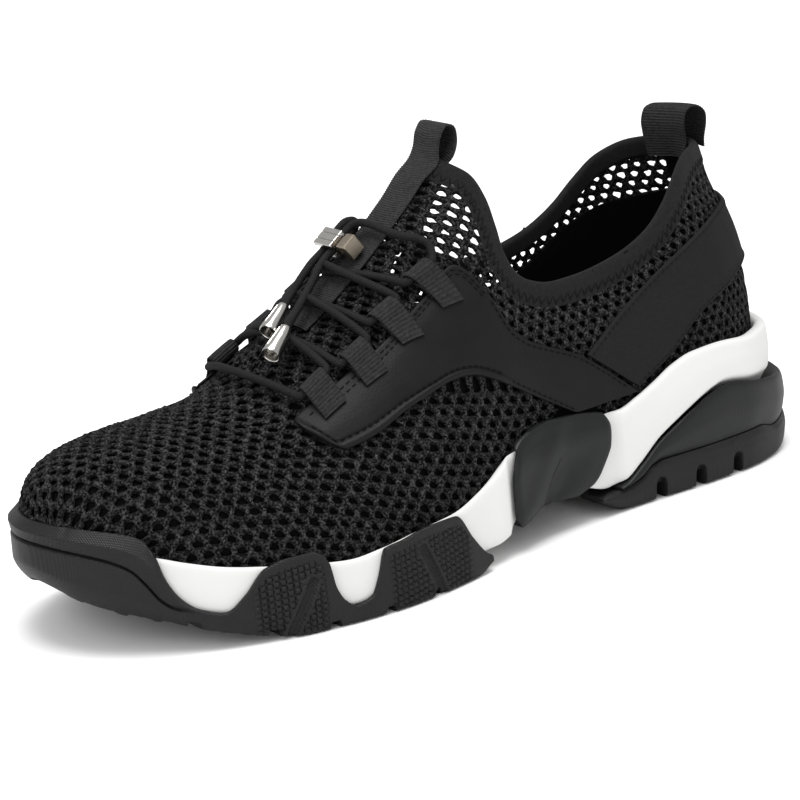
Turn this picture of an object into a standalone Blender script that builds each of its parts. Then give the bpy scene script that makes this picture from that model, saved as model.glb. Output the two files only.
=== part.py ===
# Work shoe for the left foot: a hollow knit bootie on a moulded sole, laced with an elastic cord.
# Sizes are in millimetres, and MM turns them into metres when a mesh is written.
# +X points to the toe, +Y to the outer (lateral) side and +Z up. The floor is z = 0.

import math

import bpy
import numpy as np
from mathutils import Matrix, Vector

MM = 0.001
GAP = 0.3                # clearance between neighbouring pieces

HEEL_END = -160.5        # sole, from heel to toe, measured from the waist
TOE_END = 147.5
LEDGE = 4.2              # how far the upper stands in from the sole's edge
HEEL_LEDGE = 10.5        # and at the back, where the heel flares out
WHITE_INSET = 0.7        # how far the foam stands in from the sole's edge
WHITE_HEEL_INSET = 5.0   # and at the back of the heel
WALL = 2.2               # thickness of the knit wall
BINDING_WIDTH = 9.0      # collar binding
BINDING_PROUD = 0.5      # how far the binding stands out of the knit
OVERLAY = 1.2            # thickness of the eyestays and the heel strap
OVERLAY_LIFT = 0.9       # their clearance from the knit, whose facets stand out a little
INSOLE = 4.0
RUBBER_WALL = 1.8        # side wall of the outsole cup and of the waist saddle
PLATE = 5.0              # bottom plate of the outsole cup
CORD = 2.8               # elastic cord diameter
CORD_LIFT = 3.9          # cord's middle above the knit
CORD_SIDES = 6
WEBBING = 0.9            # thickness of the webbing
STRIP_WIDTH = 15.0       # tongue strip and its pull loop
STRIP_FRONT = 40.0       # where the strip starts on the instep
HEEL_LOOP_WIDTH = 17.0
LACE_LOOP_HALF = 4.3     # half width of a lace loop, along the shoe
LACE_TUNNEL = 2.15       # radius of the webbing's middle round the cord
LOCK_PLACE = (13.5, -3.0, 6.2)         # x, y and height above the ridge of the cord lock's middle

LENGTH = TOE_END - HEEL_END
ORIGIN = ((HEEL_END + TOE_END) / 2, 1.2, 0.0)     # middle of the sole, on the floor
UPPER_BACK = HEEL_END + HEEL_LEDGE
UPPER_FRONT = TOE_END - LEDGE

# Plan of the sole: a bent centre line and a half width about it, from heel to toe.
SOLE = (("x", "centre", "half"), (
    (HEEL_END, -1.0, 0.0), (-157.5, -1.0, 14.0), (-151.5, -1.0, 24.5), (-140, -1.0, 33.0),
    (-122, -1.0, 38.5), (-100, -1.0, 39.8), (-72, -0.3, 38.7), (-40, 2.2, 38.0),
    (-10, 4.2, 42.5), (20, 5.2, 50.0), (50, 3.2, 55.0), (75, -0.4, 55.4),
    (97, -3.5, 51.2), (116, -5.5, 43.2), (130.5, -6.8, 33.0), (140.5, -7.2, 21.5),
    (145.5, -7.5, 10.5), (TOE_END, -7.5, 0.0)))

# Sections of the last: footbed level, instep height above it, how full the section is, and how far
# its ridge leans from the plan's centre line. Behind the tongue the height is that of the shin.
LAST = (("x", "footbed", "height", "fullness", "lean"), (
    (UPPER_BACK, 35.0, 165.0, 1.2, -1.5), (-110, 35.0, 150.0, 1.2, -1.5), (-75, 33.5, 130.0, 1.25, -1.5),
    (-50, 31.0, 117.0, 1.35, -2.5), (-35, 29.0, 110.5, 1.5, -3.5), (-20, 27.0, 105.0, 1.65, -4.5),
    (-8, 25.5, 95.5, 1.8, -5.5), (9, 23.2, 83.0, 1.9, -5.8), (18, 22.0, 77.5, 2.0, -5.5),
    (38, 19.5, 66.0, 2.1, -5.0), (50, 18.5, 59.5, 2.2, -5.0), (60, 18.0, 53.5, 2.3, -4.5),
    (70, 17.8, 49.0, 2.4, -3.5), (85, 18.0, 46.2, 2.5, -3.0), (100, 19.5, 43.8, 2.7, -2.0),
    (113, 22.5, 40.0, 2.9, -1.0), (124, 26.0, 35.0, 3.0, 0.0), (134, 29.0, 28.5, 3.0, 0.0),
    (140.5, 31.5, 20.0, 3.0, 0.0), (UPPER_FRONT, 33.0, 0.0, 3.0, 0.0)))

# Back of the heel, seen from the side.
HEEL_BACK = (("z", "x"), (
    (30, UPPER_BACK), (52, -149.9), (64, -149.0), (80, -145.8), (92, -141.5), (103, -137.0), (116, -134.0)))

# Collar line from the heel to the top of the tongue, seen from the side.
COLLAR = (
    (-134.0, 116.0), (-128, 116.0), (-119, 115.0), (-110, 110.8), (-101, 103.0), (-92, 95.5), (-82, 90.5),
    (-69, 87.0), (-55, 85.5), (-42, 86.5), (-34.5, 90.5), (-31, 98.0), (-30.5, 107.5), (-30, 117.0),
    (-27.5, 125.0), (-21.5, 130.5))

# Leather eyestay, seen from the side: its lower and upper edge from the toe to the sole behind the waist.
EYESTAY = (("low_x", "low_z", "high_x", "high_z"), (
    (54.0, 52.6, 63.5, 61.5), (42.0, 55.2, 44.2, 71.0), (27.5, 60.4, 25.5, 80.0), (14.4, 63.6, 5.0, 91.0),
    (3.4, 64.8, -9.5, 98.4), (-3.5, 63.8, -16.6, 89.2), (-10.5, 60.7, -23.5, 75.0),
    (-28.5, 50.2, -54.6, 56.9), (-46.0, 40.0, -75.0, 40.5)))

# Heel strap in the same way, from its end at the eyestay to the middle of the heel's back.
STRAP = (("low_x", "low_z", "high_x", "high_z"), (
    (-75.6, 42.0, -55.1, 58.0), (-92.0, 50.4, -75.0, 70.5), (-106.0, 60.8, -94.0, 81.0),
    (-125.0, 67.5, -116.0, 90.0), (-148.0, 71.5, -140.6, 94.0)))

# Lace loops of the lateral side seen from above, front first: middle of the cord's tunnel and sewn end.
LACE_LOOPS = (("x", "y", "end_x", "end_y"), (
    (50.5, 24.8, 49.7, 34.0), (35.0, 26.3, 33.3, 34.4), (20.3, 23.3, 16.3, 31.8), (3.7, 21.3, -2.6, 29.0)))
FRONT_BAR_BULGE = 5.0                  # how far the front lace bar bows towards the toe
CROSS_BULGES = (2.5, 4.5, 9.0)         # and the crossings behind it
MOUTH_GAPS = {1: 1.6, -1: 1.2}         # clearance of the cord from a loop's front and rear mouth

# Pull loops in side view. The tongue's loop starts at the top of the tongue, the heel's inside the collar.
TONGUE_LOOP = ((-19.5, 135.0), (-21.3, 139.5), (-23.8, 141.6), (-26.8, 140.6), (-27.6, 137.0), (-25.2, 132.0))
HEEL_LOOP = (
    (-129.2, 105.0), (-127.6, 112.0), (-126.2, 118.0), (-125.8, 123.5), (-127.5, 127.2), (-131.5, 127.9),
    (-135.2, 125.4), (-136.6, 121.0), (-137.2, 115.5), (-138.9, 108.0))

# Lace ends from the lock to their metal tips: free routes, and the axis of each tip.
TAIL_UPPER = (
    (21.8, -8.6, 104.8), (26.0, -7.9, 102.7), (31.0, -6.6, 99.5), (36.2, -4.8, 96.1), (42.6, -1.9, 92.3))
TAIL_LOWER = (
    (21.8, -4.3, 104.8), (26.2, -2.9, 102.4), (31.0, -0.6, 99.0), (36.6, 2.2, 95.3), (48.4, 7.4, 87.7))
TIP_LENGTH = 12.6
TIP_SIDES = 10
TIP_RADII = (("share", "radius"), ((0.0, 2.0), (0.1, 2.3), (0.55, 2.8), (0.9, 3.3), (1.0, 3.0)))

# Cord lock across the shoe: place along it, half depth along the instep and half height. Each ends inside,
# the body with the pocket that the button's stem slides in.
LOCK_DEPTH = 3.7
LOCK_BODY = (("sideways", "depth", "height"), (
    (-9.8, 3.0, 2.6), (-9.2, LOCK_DEPTH, 3.2), (-7.6, LOCK_DEPTH, 3.2), (-7.3, 3.1, 2.6), (-6.5, 3.1, 2.6),
    (-6.2, LOCK_DEPTH, 3.2), (0.3, LOCK_DEPTH, 3.2), (0.3, 2.5, 1.8), (-5.0, 2.5, 1.8)))
LOCK_BUTTON = (("sideways", "depth", "height"), (
    (8.2, 2.5, 2.7), (7.6, 3.1, 3.3), (5.8, 3.1, 3.3), (5.5, 2.6, 2.8), (3.5, 2.6, 2.8), (3.5, 2.2, 1.5),
    (-2.0, 2.2, 1.5)))

# Heights along the sole, the same on both sides.
FORE_BOTTOM = (("x", "z"), (
    (4, 3.0), (8, 0.8), (12, 0.0), (80, 0.0), (90, 1.3), (100, 3.8), (110, 6.6),
    (119, 9.2), (128, 11.7), (137, 14.8), (142, 17.2), (TOE_END, 21.5)))
FORE_TOP = (("x", "z"), (
    (4, 5.8), (6, 7.0), (13, 15.0), (20, 24.5), (33, 25.0), (44, 23.5), (51, 22.5), (54, 14.0),
    (57, 8.0), (63, 6.2), (67, 9.0), (70, 15.0), (71.5, 23.0), (76, 27.0), (85, 27.0), (92, 25.0),
    (99, 17.0), (105, 12.5), (112, 14.5), (117, 19.0), (120.5, 26.0), (122.5, 34.0), (127, 39.5),
    (136, 42.0), (TOE_END, 43.5)))
BUMPER_GROOVE = (("x", "z"), (
    (104, 10.5), (115, 15.0), (122, 21.5), (127, 29.0), (133, 33.0), (TOE_END, 35.5)))
RIM_TOP = (("x", "z"), (
    (HEEL_END, 46.5), (-130, 48.0), (-110, 50.0), (-99, 49.5), (-90, 47.0), (-81, 42.5), (-73, 39.0),
    (-65, 36.5), (-50, 36.0), (-30, 36.0), (-12, 35.0), (4, 28.0), (20, 24.5), (33, 24.0), (51, 22.0),
    (61, 21.0), (71, 22.0), (92, 25.0), (104, 27.0), (115, 30.0), (121, 32.0), (131, 34.5), (TOE_END, 37.0)))
SADDLE_TOP = (("x", "z"), ((-60, 36.0), (-57, 37.5), (-44, 40.0), (-30, 41.0), (-19, 39.0), (-10, 33.5)))
SADDLE_BOTTOM = (("x", "z"), ((-60, 11.0), (-50, 11.5), (-41, 12.0), (-25, 13.5), (-16, 10.8), (-8, 8.6)))
WHITE_BOTTOM = (("x", "z"), (
    (HEEL_END, 28.0), (-146, 30.0), (-130, 33.0), (-113, 36.0), (-105, 34.0), (-98, 31.0), (-90, 27.0),
    (-81, 22.0), (-72, 15.0), (-65, 10.6), (-58, 9.0), (-50, 11.3), (-41, 15.2), (-25, 16.2),
    (-16, 14.0), (-9, 11.4), (-4, 8.0), (3, 6.4), (8, 6.4)))
TREAD_TOP = (("x", "z"), (
    (HEEL_END, 19.0), (-157, 15.0), (-149, 11.5), (-140, 11.5), (-130, 14.0), (-82, 14.0), (-77, 12.8),
    (-72, 9.6), (-66, 8.2), (-50, 7.2)))
TREAD_BOTTOM = (("x", "z"), (
    (HEEL_END, 10.0), (-158, 6.5), (-152, 3.2), (-145, 0.9), (-138, 0.0), (-70, 0.0), (-64, 0.5),
    (-60, 1.6), (-56, 3.4), (-50, 5.6)))

# Edges of the waist saddle up its side: level 0 is its bottom edge and 1 its top.
SADDLE_EDGES = (("level", "rear", "front"), (
    (0.0, -42.0, -11.0), (0.1, -50.0, -10.0), (0.3, -55.0, -9.5), (0.6, -59.0, -9.5),
    (0.85, -59.5, -11.0), (1.0, -57.0, -13.0)))

FORE_GROOVES = (31.0, 51.0, 71.0, 91.0, 114.0)
FORE_GROOVE_SIZE = (3.0, 2.0)          # width and depth
HEEL_GROOVES = (-80.0, -98.0, -116.0)
HEEL_GROOVE_SIZE = (4.5, 5.0)
BLOCK_DISH = 8.0                       # depth of the hollow in the heel block's top
DISH_INSET = 9.0
BLOCK_FRONT = -62.0
TREAD_FRONT = -50.0


def smooth(xs, ys, x):
    """Monotone cubic curve through the points (xs, ys), read at x."""
    step = np.diff(xs)
    slope = np.diff(ys) / step
    tangent = np.concatenate(([slope[0]], np.zeros(len(xs) - 2), [slope[-1]]))
    before, after = slope[:-1], slope[1:]
    same_way = before * after > 0
    weight_a = 2 * step[1:] + step[:-1]
    weight_b = step[1:] + 2 * step[:-1]
    safe_before = np.where(same_way, before, 1.0)
    safe_after = np.where(same_way, after, 1.0)
    harmonic = (weight_a + weight_b) / (weight_a / safe_before + weight_b / safe_after)
    tangent[1:-1] = np.where(same_way, harmonic, 0.0)
    x = np.clip(x, xs[0], xs[-1])
    i = np.clip(np.searchsorted(xs, x, side="right") - 1, 0, len(xs) - 2)
    t = (x - xs[i]) / step[i]
    rise = ys[i] * (1 + 2 * t) * (1 - t) ** 2 + ys[i + 1] * t * t * (3 - 2 * t)
    lean = step[i] * (tangent[i] * t * (1 - t) ** 2 - tangent[i + 1] * t * t * (1 - t))
    return rise + lean


def read(table, name, x, power=1):
    """Column of a table at x. With power 2 the squares are interpolated, so that ends come out round."""
    columns, rows = table
    data = np.array(rows, float)
    value = smooth(data[:, 0], data[:, columns.index(name)] ** power, np.asarray(x, float))
    return np.sqrt(np.maximum(value, 0.0)) if power == 2 else value


def ease(x, start, end):
    """Smooth step from 0 at start to 1 at end."""
    t = np.clip((np.asarray(x, float) - start) / (end - start), 0.0, 1.0)
    return t * t * (3 - 2 * t)


def spline(points, count):
    """Smooth curve through points, resampled into count points evenly along its length."""
    points = np.array(points, float)
    chord = np.concatenate(([0.0], np.cumsum(np.linalg.norm(np.diff(points, axis=0), axis=1))))
    tangent = np.gradient(points, chord, axis=0)
    t = np.linspace(0, chord[-1], 40 * len(points))
    i = np.clip(np.searchsorted(chord, t, side="right") - 1, 0, len(chord) - 2)
    step = (chord[i + 1] - chord[i])[:, None]
    u = ((t - chord[i])[:, None]) / step
    curve = points[i] * (1 + 2 * u) * (1 - u) ** 2 + points[i + 1] * u * u * (3 - 2 * u)
    curve += step * (tangent[i] * u * (1 - u) ** 2 - tangent[i + 1] * u * u * (1 - u))
    return along(curve, np.linspace(0, 1, count))


def along(curve, fraction):
    """Points at the given fractions of a polyline's length."""
    run = np.concatenate(([0.0], np.cumsum(np.linalg.norm(np.diff(curve, axis=0), axis=1))))
    return np.stack([np.interp(fraction * run[-1], run, curve[:, k]) for k in range(curve.shape[1])], -1)


def cosine(count):
    """Fractions from 0 to 1, close together at both ends."""
    return (1 - np.cos(np.linspace(0, np.pi, count))) / 2


# The sole's plan as a fine curve, with its outward normal, so that it can be drawn in by any distance.
PLAN_X = HEEL_END + LENGTH * cosine(1201)
PLAN_HALF = read(SOLE, "half", PLAN_X, power=2)
PLAN_RUN = np.hypot(np.gradient(PLAN_X), np.gradient(PLAN_HALF))
NORMAL_X = -np.gradient(PLAN_HALF) / PLAN_RUN
NORMAL_HALF = np.gradient(PLAN_X) / PLAN_RUN
NORMAL_X[[0, -1]] = (-1.0, 1.0)
NORMAL_HALF[[0, -1]] = 0.0


def ledge(x):
    """How far the upper stands in from the sole's edge."""
    return LEDGE + (HEEL_LEDGE - LEDGE) * ease(-x, 110, 150)


UPPER_X = PLAN_X - ledge(PLAN_X) * NORMAL_X
UPPER_HALF = np.maximum(PLAN_HALF - ledge(PLAN_X) * NORMAL_HALF, 0.0)


def centre(x):
    return read(SOLE, "centre", x)


def footbed(x):
    return read(LAST, "footbed", x)


def ridge(x):
    return footbed(x) + read(LAST, "height", x, power=2)


def section(x, z):
    """Half width of the last at x and z, and how far up its section the point lies."""
    shift = (read(HEEL_BACK, "x", z) - UPPER_BACK) * (1 - ease(x, -120, -50))
    base = np.interp(x - shift, UPPER_X, UPPER_HALF)
    level = np.clip((z - footbed(x)) / np.maximum(ridge(x) - footbed(x), 1e-6), 0.0, 1.0)
    return base * np.sqrt(1 - level ** read(LAST, "fullness", x)), level


def side_point(x, z, side):
    """Point of the last's surface seen from the side: side is 1 for lateral and -1 for medial."""
    half, level = section(x, z)
    y = centre(x) + read(LAST, "lean", x) * level + side * half
    return np.stack([x, y, z], -1)


def side_surface(x, z, side, offset):
    """side_point moved out along the surface's normal."""
    step = 0.2
    x, z = np.broadcast_arrays(np.asarray(x, float), np.asarray(z, float))
    along_x = side_point(x + step, z, side) - side_point(x - step, z, side)
    along_z = side_point(x, z + step, side) - side_point(x, z - step, side)
    normal = np.cross(along_z, along_x) * side
    normal /= np.linalg.norm(normal, axis=-1, keepdims=True)
    return side_point(x, z, side) + normal * np.asarray(offset, float)[..., None]


def top_point(x, y):
    """Point of the last's surface seen from above."""
    base = np.interp(x, UPPER_X, UPPER_HALF)
    level = np.ones(np.broadcast(x, y).shape)
    for _ in range(6):
        middle = centre(x) + read(LAST, "lean", x) * level
        across = np.clip(np.abs(y - middle) / base, 0.0, 0.999)
        level = (1 - across ** 2) ** (1 / read(LAST, "fullness", x))
    z = footbed(x) + level * (ridge(x) - footbed(x))
    return np.stack(np.broadcast_arrays(x, y, z), -1)


def top_surface(x, y, offset):
    """top_point moved out along the surface's normal."""
    step = 0.3
    x, y = np.broadcast_arrays(np.asarray(x, float), np.asarray(y, float))
    along_x = top_point(x + step, y) - top_point(x - step, y)
    along_y = top_point(x, y + step) - top_point(x, y - step)
    normal = np.cross(along_x, along_y)
    normal /= np.linalg.norm(normal, axis=-1, keepdims=True)
    return top_point(x, y) + normal * np.asarray(offset, float)[..., None]


def ridge_y(x):
    return centre(x) + read(LAST, "lean", x)


def collar_line(inset, count):
    """Collar line drawn in by inset towards the sole and the toe, with its front end on the ridge."""
    curve = spline(COLLAR, 400)
    tangent = np.gradient(curve, axis=0)
    tangent /= np.linalg.norm(tangent, axis=1, keepdims=True)
    drawn = curve + inset * np.stack([tangent[:, 1], -tangent[:, 0]], 1)
    drawn[0, 0] = read(HEEL_BACK, "x", drawn[0, 1])
    run_out = drawn[-1] + np.linspace(0.2, 15, 60)[:, None] * tangent[-1]
    drawn = np.concatenate([drawn, run_out])
    end = np.argmax(drawn[:, 1] >= ridge(drawn[:, 0]))
    drawn[end, 1] = ridge(drawn[end, 0])
    return along(drawn[:end + 1], cosine(count))


def bootie(rows, count, top_inset):
    """Side view grid from the footbed up to the drawn-in collar line, rows by count points."""
    s = cosine(count)[:, None]
    v = np.linspace(0, 1, rows)[None, :]
    bottom_x = UPPER_BACK + (UPPER_FRONT - UPPER_BACK) * s[:, 0]
    bottom = np.stack([bottom_x, footbed(bottom_x) + 2 * GAP], -1)[:, None, :]
    top = collar_line(top_inset, count)[:, None, :]
    back_z = bottom[0, 0, 1] + (top[0, 0, 1] - bottom[0, 0, 1]) * v[0]
    back = np.stack([read(HEEL_BACK, "x", back_z), back_z], -1)[None]
    front_x = UPPER_FRONT + (top[-1, 0, 0] - UPPER_FRONT) * (1 - np.cos(v[0] * np.pi / 2))
    front = np.stack([front_x, ridge(front_x)], -1)[None]
    front[0, 0, 1] = bottom[-1, 0, 1]
    s, v = s[..., None], v[..., None]
    corners = (1 - s) * ((1 - v) * bottom[0, 0] + v * top[0, 0])
    corners = corners + s * ((1 - v) * bottom[-1, 0] + v * top[-1, 0])
    return (1 - v) * bottom + v * top + (1 - s) * back + s * front - corners


def around(grid):
    """Both sides of a side view grid as one closed ring of columns, lateral first."""
    lateral = side_point(grid[..., 0], grid[..., 1], 1)
    medial = side_point(grid[..., 0], grid[..., 1], -1)
    for half in (lateral, medial):
        half[0, :, 1] = centre(half[0, :, 0])
        half[-1, :, 1] = ridge_y(half[-1, :, 0])
    return np.concatenate([lateral, medial[-2:0:-1]])


def ring_normals(ring):
    """Outward normals of a ring of columns."""
    along_u = np.roll(ring, -1, axis=0) - np.roll(ring, 1, axis=0)
    along_v = np.gradient(ring, axis=1)
    normal = np.cross(along_v, along_u)
    return normal / np.linalg.norm(normal, axis=-1, keepdims=True)


def drawn_in(x, inset):
    """The sole's plan drawn in by inset, at the place that x names on its edge."""
    nx = np.interp(x, PLAN_X, NORMAL_X)
    nh = np.interp(x, PLAN_X, NORMAL_HALF)
    half = np.interp(x, PLAN_X, PLAN_HALF)
    return x - inset * nx, np.maximum(half - inset * nh, 0.0)


def lean_in(x, z):
    """How far the upper leans in at level z from where it meets the footbed."""
    level = np.clip((z - footbed(x)) / np.maximum(ridge(x) - footbed(x), 8.0), 0.0, 0.9)
    half = np.interp(x, UPPER_X, UPPER_HALF)
    sideways = half * (1 - np.sqrt(1 - level ** read(LAST, "fullness", x)))
    toe_x = np.linspace(110, UPPER_FRONT, 80)
    forwards = UPPER_FRONT - np.interp(z, ridge(toe_x)[::-1], toe_x[::-1])
    facing = np.maximum(np.interp(x, PLAN_X, NORMAL_X), 0.0)
    return sideways * (1 - facing ** 2) + forwards * facing ** 2


def edge_loop(x, inset, z, both_tips):
    """Closed loop round the sole's plan. The stations x end at a tip, and start at one too if both_tips."""
    px, half = drawn_in(x, inset)
    z = np.broadcast_to(z, px.shape)
    lateral = np.stack([px, centre(px) + half, z], -1)
    medial = np.stack([px, centre(px) - half, z], -1)
    lateral[-1, 1] = centre(px[-1])
    if both_tips:
        lateral[0, 1] = centre(px[0])
        return np.concatenate([lateral, medial[-2:0:-1]])
    return np.concatenate([lateral, medial[-2::-1]])


# Mesh building

def make_material(name, colour, roughness, metallic=0.0):
    material = bpy.data.materials.new(name)
    material.use_nodes = True
    shader = material.node_tree.nodes["Principled BSDF"]
    shader.inputs["Base Color"].default_value = (*colour, 1.0)
    shader.inputs["Roughness"].default_value = roughness
    shader.inputs["Metallic"].default_value = metallic
    return material


def signed_volume(points, faces):
    total = 0.0
    for face in faces:
        for k in range(1, len(face) - 1):
            total += np.dot(points[face[0]], np.cross(points[face[k]], points[face[k + 1]]))
    return total


def add_solid(name, points, faces, material, sharp_deg=40.0):
    """Closed mesh object from points in millimetres, with its faces turned outwards."""
    points = np.asarray(points, float)
    if signed_volume(points, faces) < 0:
        faces = [face[::-1] for face in faces]
    mesh = bpy.data.meshes.new(name)
    mesh.from_pydata(((points - ORIGIN) * MM).tolist(), [], faces)
    mesh.validate()
    mesh.shade_smooth()
    mesh.set_sharp_from_angle(angle=math.radians(sharp_deg))
    mesh.materials.append(material)
    solid = bpy.data.objects.new(name, mesh)
    bpy.context.scene.collection.objects.link(solid)
    return solid


def grid_faces(columns, rows, start, closed):
    """Quads of a grid whose columns follow each other, joined round if closed."""
    faces = []
    for i in range(columns if closed else columns - 1):
        for j in range(rows - 1):
            a, b = start + i * rows + j, start + (i + 1) % columns * rows + j
            faces.append((a, b, b + 1, a + 1))
    return faces


def add_shell(name, outer, inner, material, closed=False, sharp_deg=40.0):
    """Solid between two grids of the same size, closed round its rims."""
    columns, rows = outer.shape[:2]
    points = np.concatenate([outer.reshape(-1, 3), inner.reshape(-1, 3)])
    back = columns * rows
    faces = grid_faces(columns, rows, 0, closed)
    faces += [face[::-1] for face in grid_faces(columns, rows, back, closed)]
    last = rows - 1
    for i in range(columns if closed else columns - 1):
        a, b = i * rows, (i + 1) % columns * rows
        faces.append((b, a, a + back, b + back))
        faces.append((a + last, b + last, b + last + back, a + last + back))
    if not closed:
        end = (columns - 1) * rows
        for j in range(last):
            faces.append((j, j + 1, j + 1 + back, j + back))
            faces.append((end + j + 1, end + j, end + j + back, end + j + 1 + back))
    return add_solid(name, points, faces, material, sharp_deg)


def ladder(loop_size, start, both_tips):
    """Cap of a loop: rungs from its lateral half to its medial half."""
    half = loop_size // 2
    faces = []
    for i in range(half):
        left, left_next = i, i + 1
        if both_tips:
            right, right_next = (loop_size - i) % loop_size, loop_size - i - 1
        else:
            right, right_next = loop_size - 1 - i, loop_size - 2 - i
        corners = [start + k for k in (left, left_next, right_next, right)]
        faces.append(tuple(dict.fromkeys(corners)))
    return [face for face in faces if len(face) > 2]


def add_loft(name, loops, material, both_tips, sharp_deg=40.0):
    """Solid through a stack of loops, capped at its first and last loop."""
    size = len(loops[0])
    points = np.concatenate(loops)
    faces = ladder(size, 0, both_tips)
    for k in range(len(loops) - 1):
        low, high = k * size, (k + 1) * size
        for i in range(size):
            j = (i + 1) % size
            faces.append((low + j, low + i, high + i, high + j))
    faces += [face[::-1] for face in ladder(size, (len(loops) - 1) * size, both_tips)]
    return add_solid(name, points, faces, material, sharp_deg)


def grooves(x, places, size, bottom):
    """Bottom heights with transverse grooves: stations inside a groove are raised by its depth."""
    width, depth = size
    inside = np.zeros(x.shape, bool)
    for place in places:
        inside |= np.abs(x - place) < width / 2 + 0.01
    return bottom + depth * inside


def with_groove_edges(x, places, size):
    """Stations x with the edges of the grooves added."""
    half, slope = size[0] / 2, 0.5
    edges = [place + k for place in places for k in (-half - slope, -half, half, half + slope)]
    inside = np.zeros(x.shape, bool)
    for place in places:
        inside |= np.abs(x - place) < half + slope + 1.0
    return np.unique(np.concatenate([x[~inside], edges]))


# Sole

def midsole_stations():
    x = HEEL_END + LENGTH * cosine(35)
    x = np.concatenate([x[x > BLOCK_FRONT + 6], [-57, -49, -41, -12, -8, 3, 8, 14]])
    return np.unique(np.concatenate([heel_stations(), x]))


def rim_top(x):
    """Top edge of the foam's rim, as the straight runs between the midsole's stations."""
    stations = midsole_stations()
    return np.interp(x, stations, read(RIM_TOP, "z", stations))


def block_dish(x):
    """How deep the heel block's top is hollowed for the foam."""
    return BLOCK_DISH * ease(-x, 66, 92)


def heel_stations():
    """Stations that the heel's pieces share, from the block's front to the heel's tip."""
    x = BLOCK_FRONT + (HEEL_END - BLOCK_FRONT) * np.sin(np.linspace(0, np.pi / 2, 13))
    return np.unique(np.concatenate([x, [-72, -77, -82]]))


def add_outsole(material):
    x = np.array([4, 8, 13, 20, 41, 57, 63, 67, 76, 84, 99, 105, 118, 120.5, 122.5, 126, 135, 140, 143.5, 146,
                  147, TOE_END])
    x = with_groove_edges(x, FORE_GROOVES, FORE_GROOVE_SIZE)
    bottom = read(FORE_BOTTOM, "z", x)
    cut = grooves(x, FORE_GROOVES, FORE_GROOVE_SIZE, bottom)
    top = read(FORE_TOP, "z", x)
    rim = rim_top(x) + GAP
    tall = top - bottom
    plate = np.minimum(bottom + PLATE, top - 0.8)
    lip = ease(top - rim, 1.5, 5.0)                       # where the cup stands above the foam's rim
    under_lip = np.where(lip > 0, np.minimum(rim, top - 0.3), top - 0.3)
    inner = RUBBER_WALL + lip * (LEDGE - 2 * GAP - RUBBER_WALL + lean_in(x, top))
    inner_low = RUBBER_WALL + lip * (LEDGE - 2 * GAP - RUBBER_WALL + 0.7 * lean_in(x, under_lip))
    bumper = ease(x, 110, 124)
    step = np.minimum(0.6, 0.1 * tall)
    groove_z = np.where(x > 104, read(BUMPER_GROOVE, "z", x), bottom + 0.55 * tall)
    groove_z = np.clip(groove_z, bottom + 0.5 * tall, bottom + 0.8 * tall)
    outer_top = inner - RUBBER_WALL + 0.2
    face = 0.5 * bumper
    loops = (
        (2.2 + 1.5 * bumper, cut), (0.6 + 1.5 * bumper, cut + step),
        (0.0 * x, np.maximum(0.5 * (bottom + groove_z - step), cut + 2 * step)), (face, groove_z - step),
        (face + 1.1 * bumper, groove_z), (0.2 * bumper, groove_z + step), (outer_top, top - 0.5),
        (outer_top + 0.5, top), (inner, top - 0.15), (inner_low, under_lip),
        (RUBBER_WALL, under_lip - 0.1), (RUBBER_WALL, plate))
    rings = [edge_loop(x, inset, z, False) for inset, z in loops]
    return add_loft("outsole_forefoot", rings, material, False)


def add_midsole(material):
    x = midsole_stations()
    under_plate = read(FORE_BOTTOM, "z", x) + PLATE + GAP
    bottom = np.where(x > 8, under_plate, read(WHITE_BOTTOM, "z", x))
    dish = bottom - block_dish(x) + 5 * GAP
    top = read(RIM_TOP, "z", x)
    bed = footbed(drawn_in(x, ledge(x))[0])
    saddle = ease(x, -66, -60.5) - ease(x, -8.5, -4)
    side = WHITE_INSET + (WHITE_HEEL_INSET - WHITE_INSET) * ease(-x, 118, 152)
    side = side + (RUBBER_WALL + GAP + 0.6 * ease(x, 130, 145) - side) * ease(x, -3, 3)
    side = side + (RUBBER_WALL + 4 * GAP - side) * saddle
    bulge = 0.6 * (1 - ease(x, -90, -62))
    inner = ledge(x) - 2 * GAP
    loops = (
        (DISH_INSET + GAP, dish), (side + 1.2, bottom), (side, bottom + 1.0),
        (side - bulge, 0.5 * (bottom + top)), (side, top - 1.2), (side + 0.7, top),
        (inner + 0.5 * lean_in(x, top), top), (inner, bed))
    return add_loft("midsole", [edge_loop(x, inset, z, True) for inset, z in loops], material, True)


def add_heel_block(material):
    x = heel_stations()[::-1]
    low = read(TREAD_TOP, "z", x) + GAP
    high = read(WHITE_BOTTOM, "z", x) - GAP
    tall = high - low
    loops = (
        (1.6, low), (0.6, low + 0.15 * tall), (-0.3, low + 0.45 * tall), (0.2, low + 0.8 * tall),
        (1.2, high), (DISH_INSET, high - block_dish(x)))
    return add_loft("heel_block", [edge_loop(x, inset, z, False) for inset, z in loops], material, False)


def add_heel_tread(material):
    shared = np.concatenate([heel_stations(), [-58, -54, TREAD_FRONT]])
    x = with_groove_edges(np.concatenate([shared, [-138]]), HEEL_GROOVES, HEEL_GROOVE_SIZE)[::-1]
    bottom = read(TREAD_BOTTOM, "z", x)
    cut = grooves(x, HEEL_GROOVES, HEEL_GROOVE_SIZE, bottom)
    top = np.interp(x, shared, read(TREAD_TOP, "z", shared))
    loops = (
        (3.0, cut), (0.7, cut + 0.25 * np.minimum(top - cut, 4.0)),
        (0.0, np.maximum(cut + 0.6, 0.6 * top + 0.4 * bottom)), (0.3, top - 0.15 * (top - cut)), (1.3, top))
    return add_loft("heel_tread", [edge_loop(x, inset, z, False) for inset, z in loops], material, False)


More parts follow.
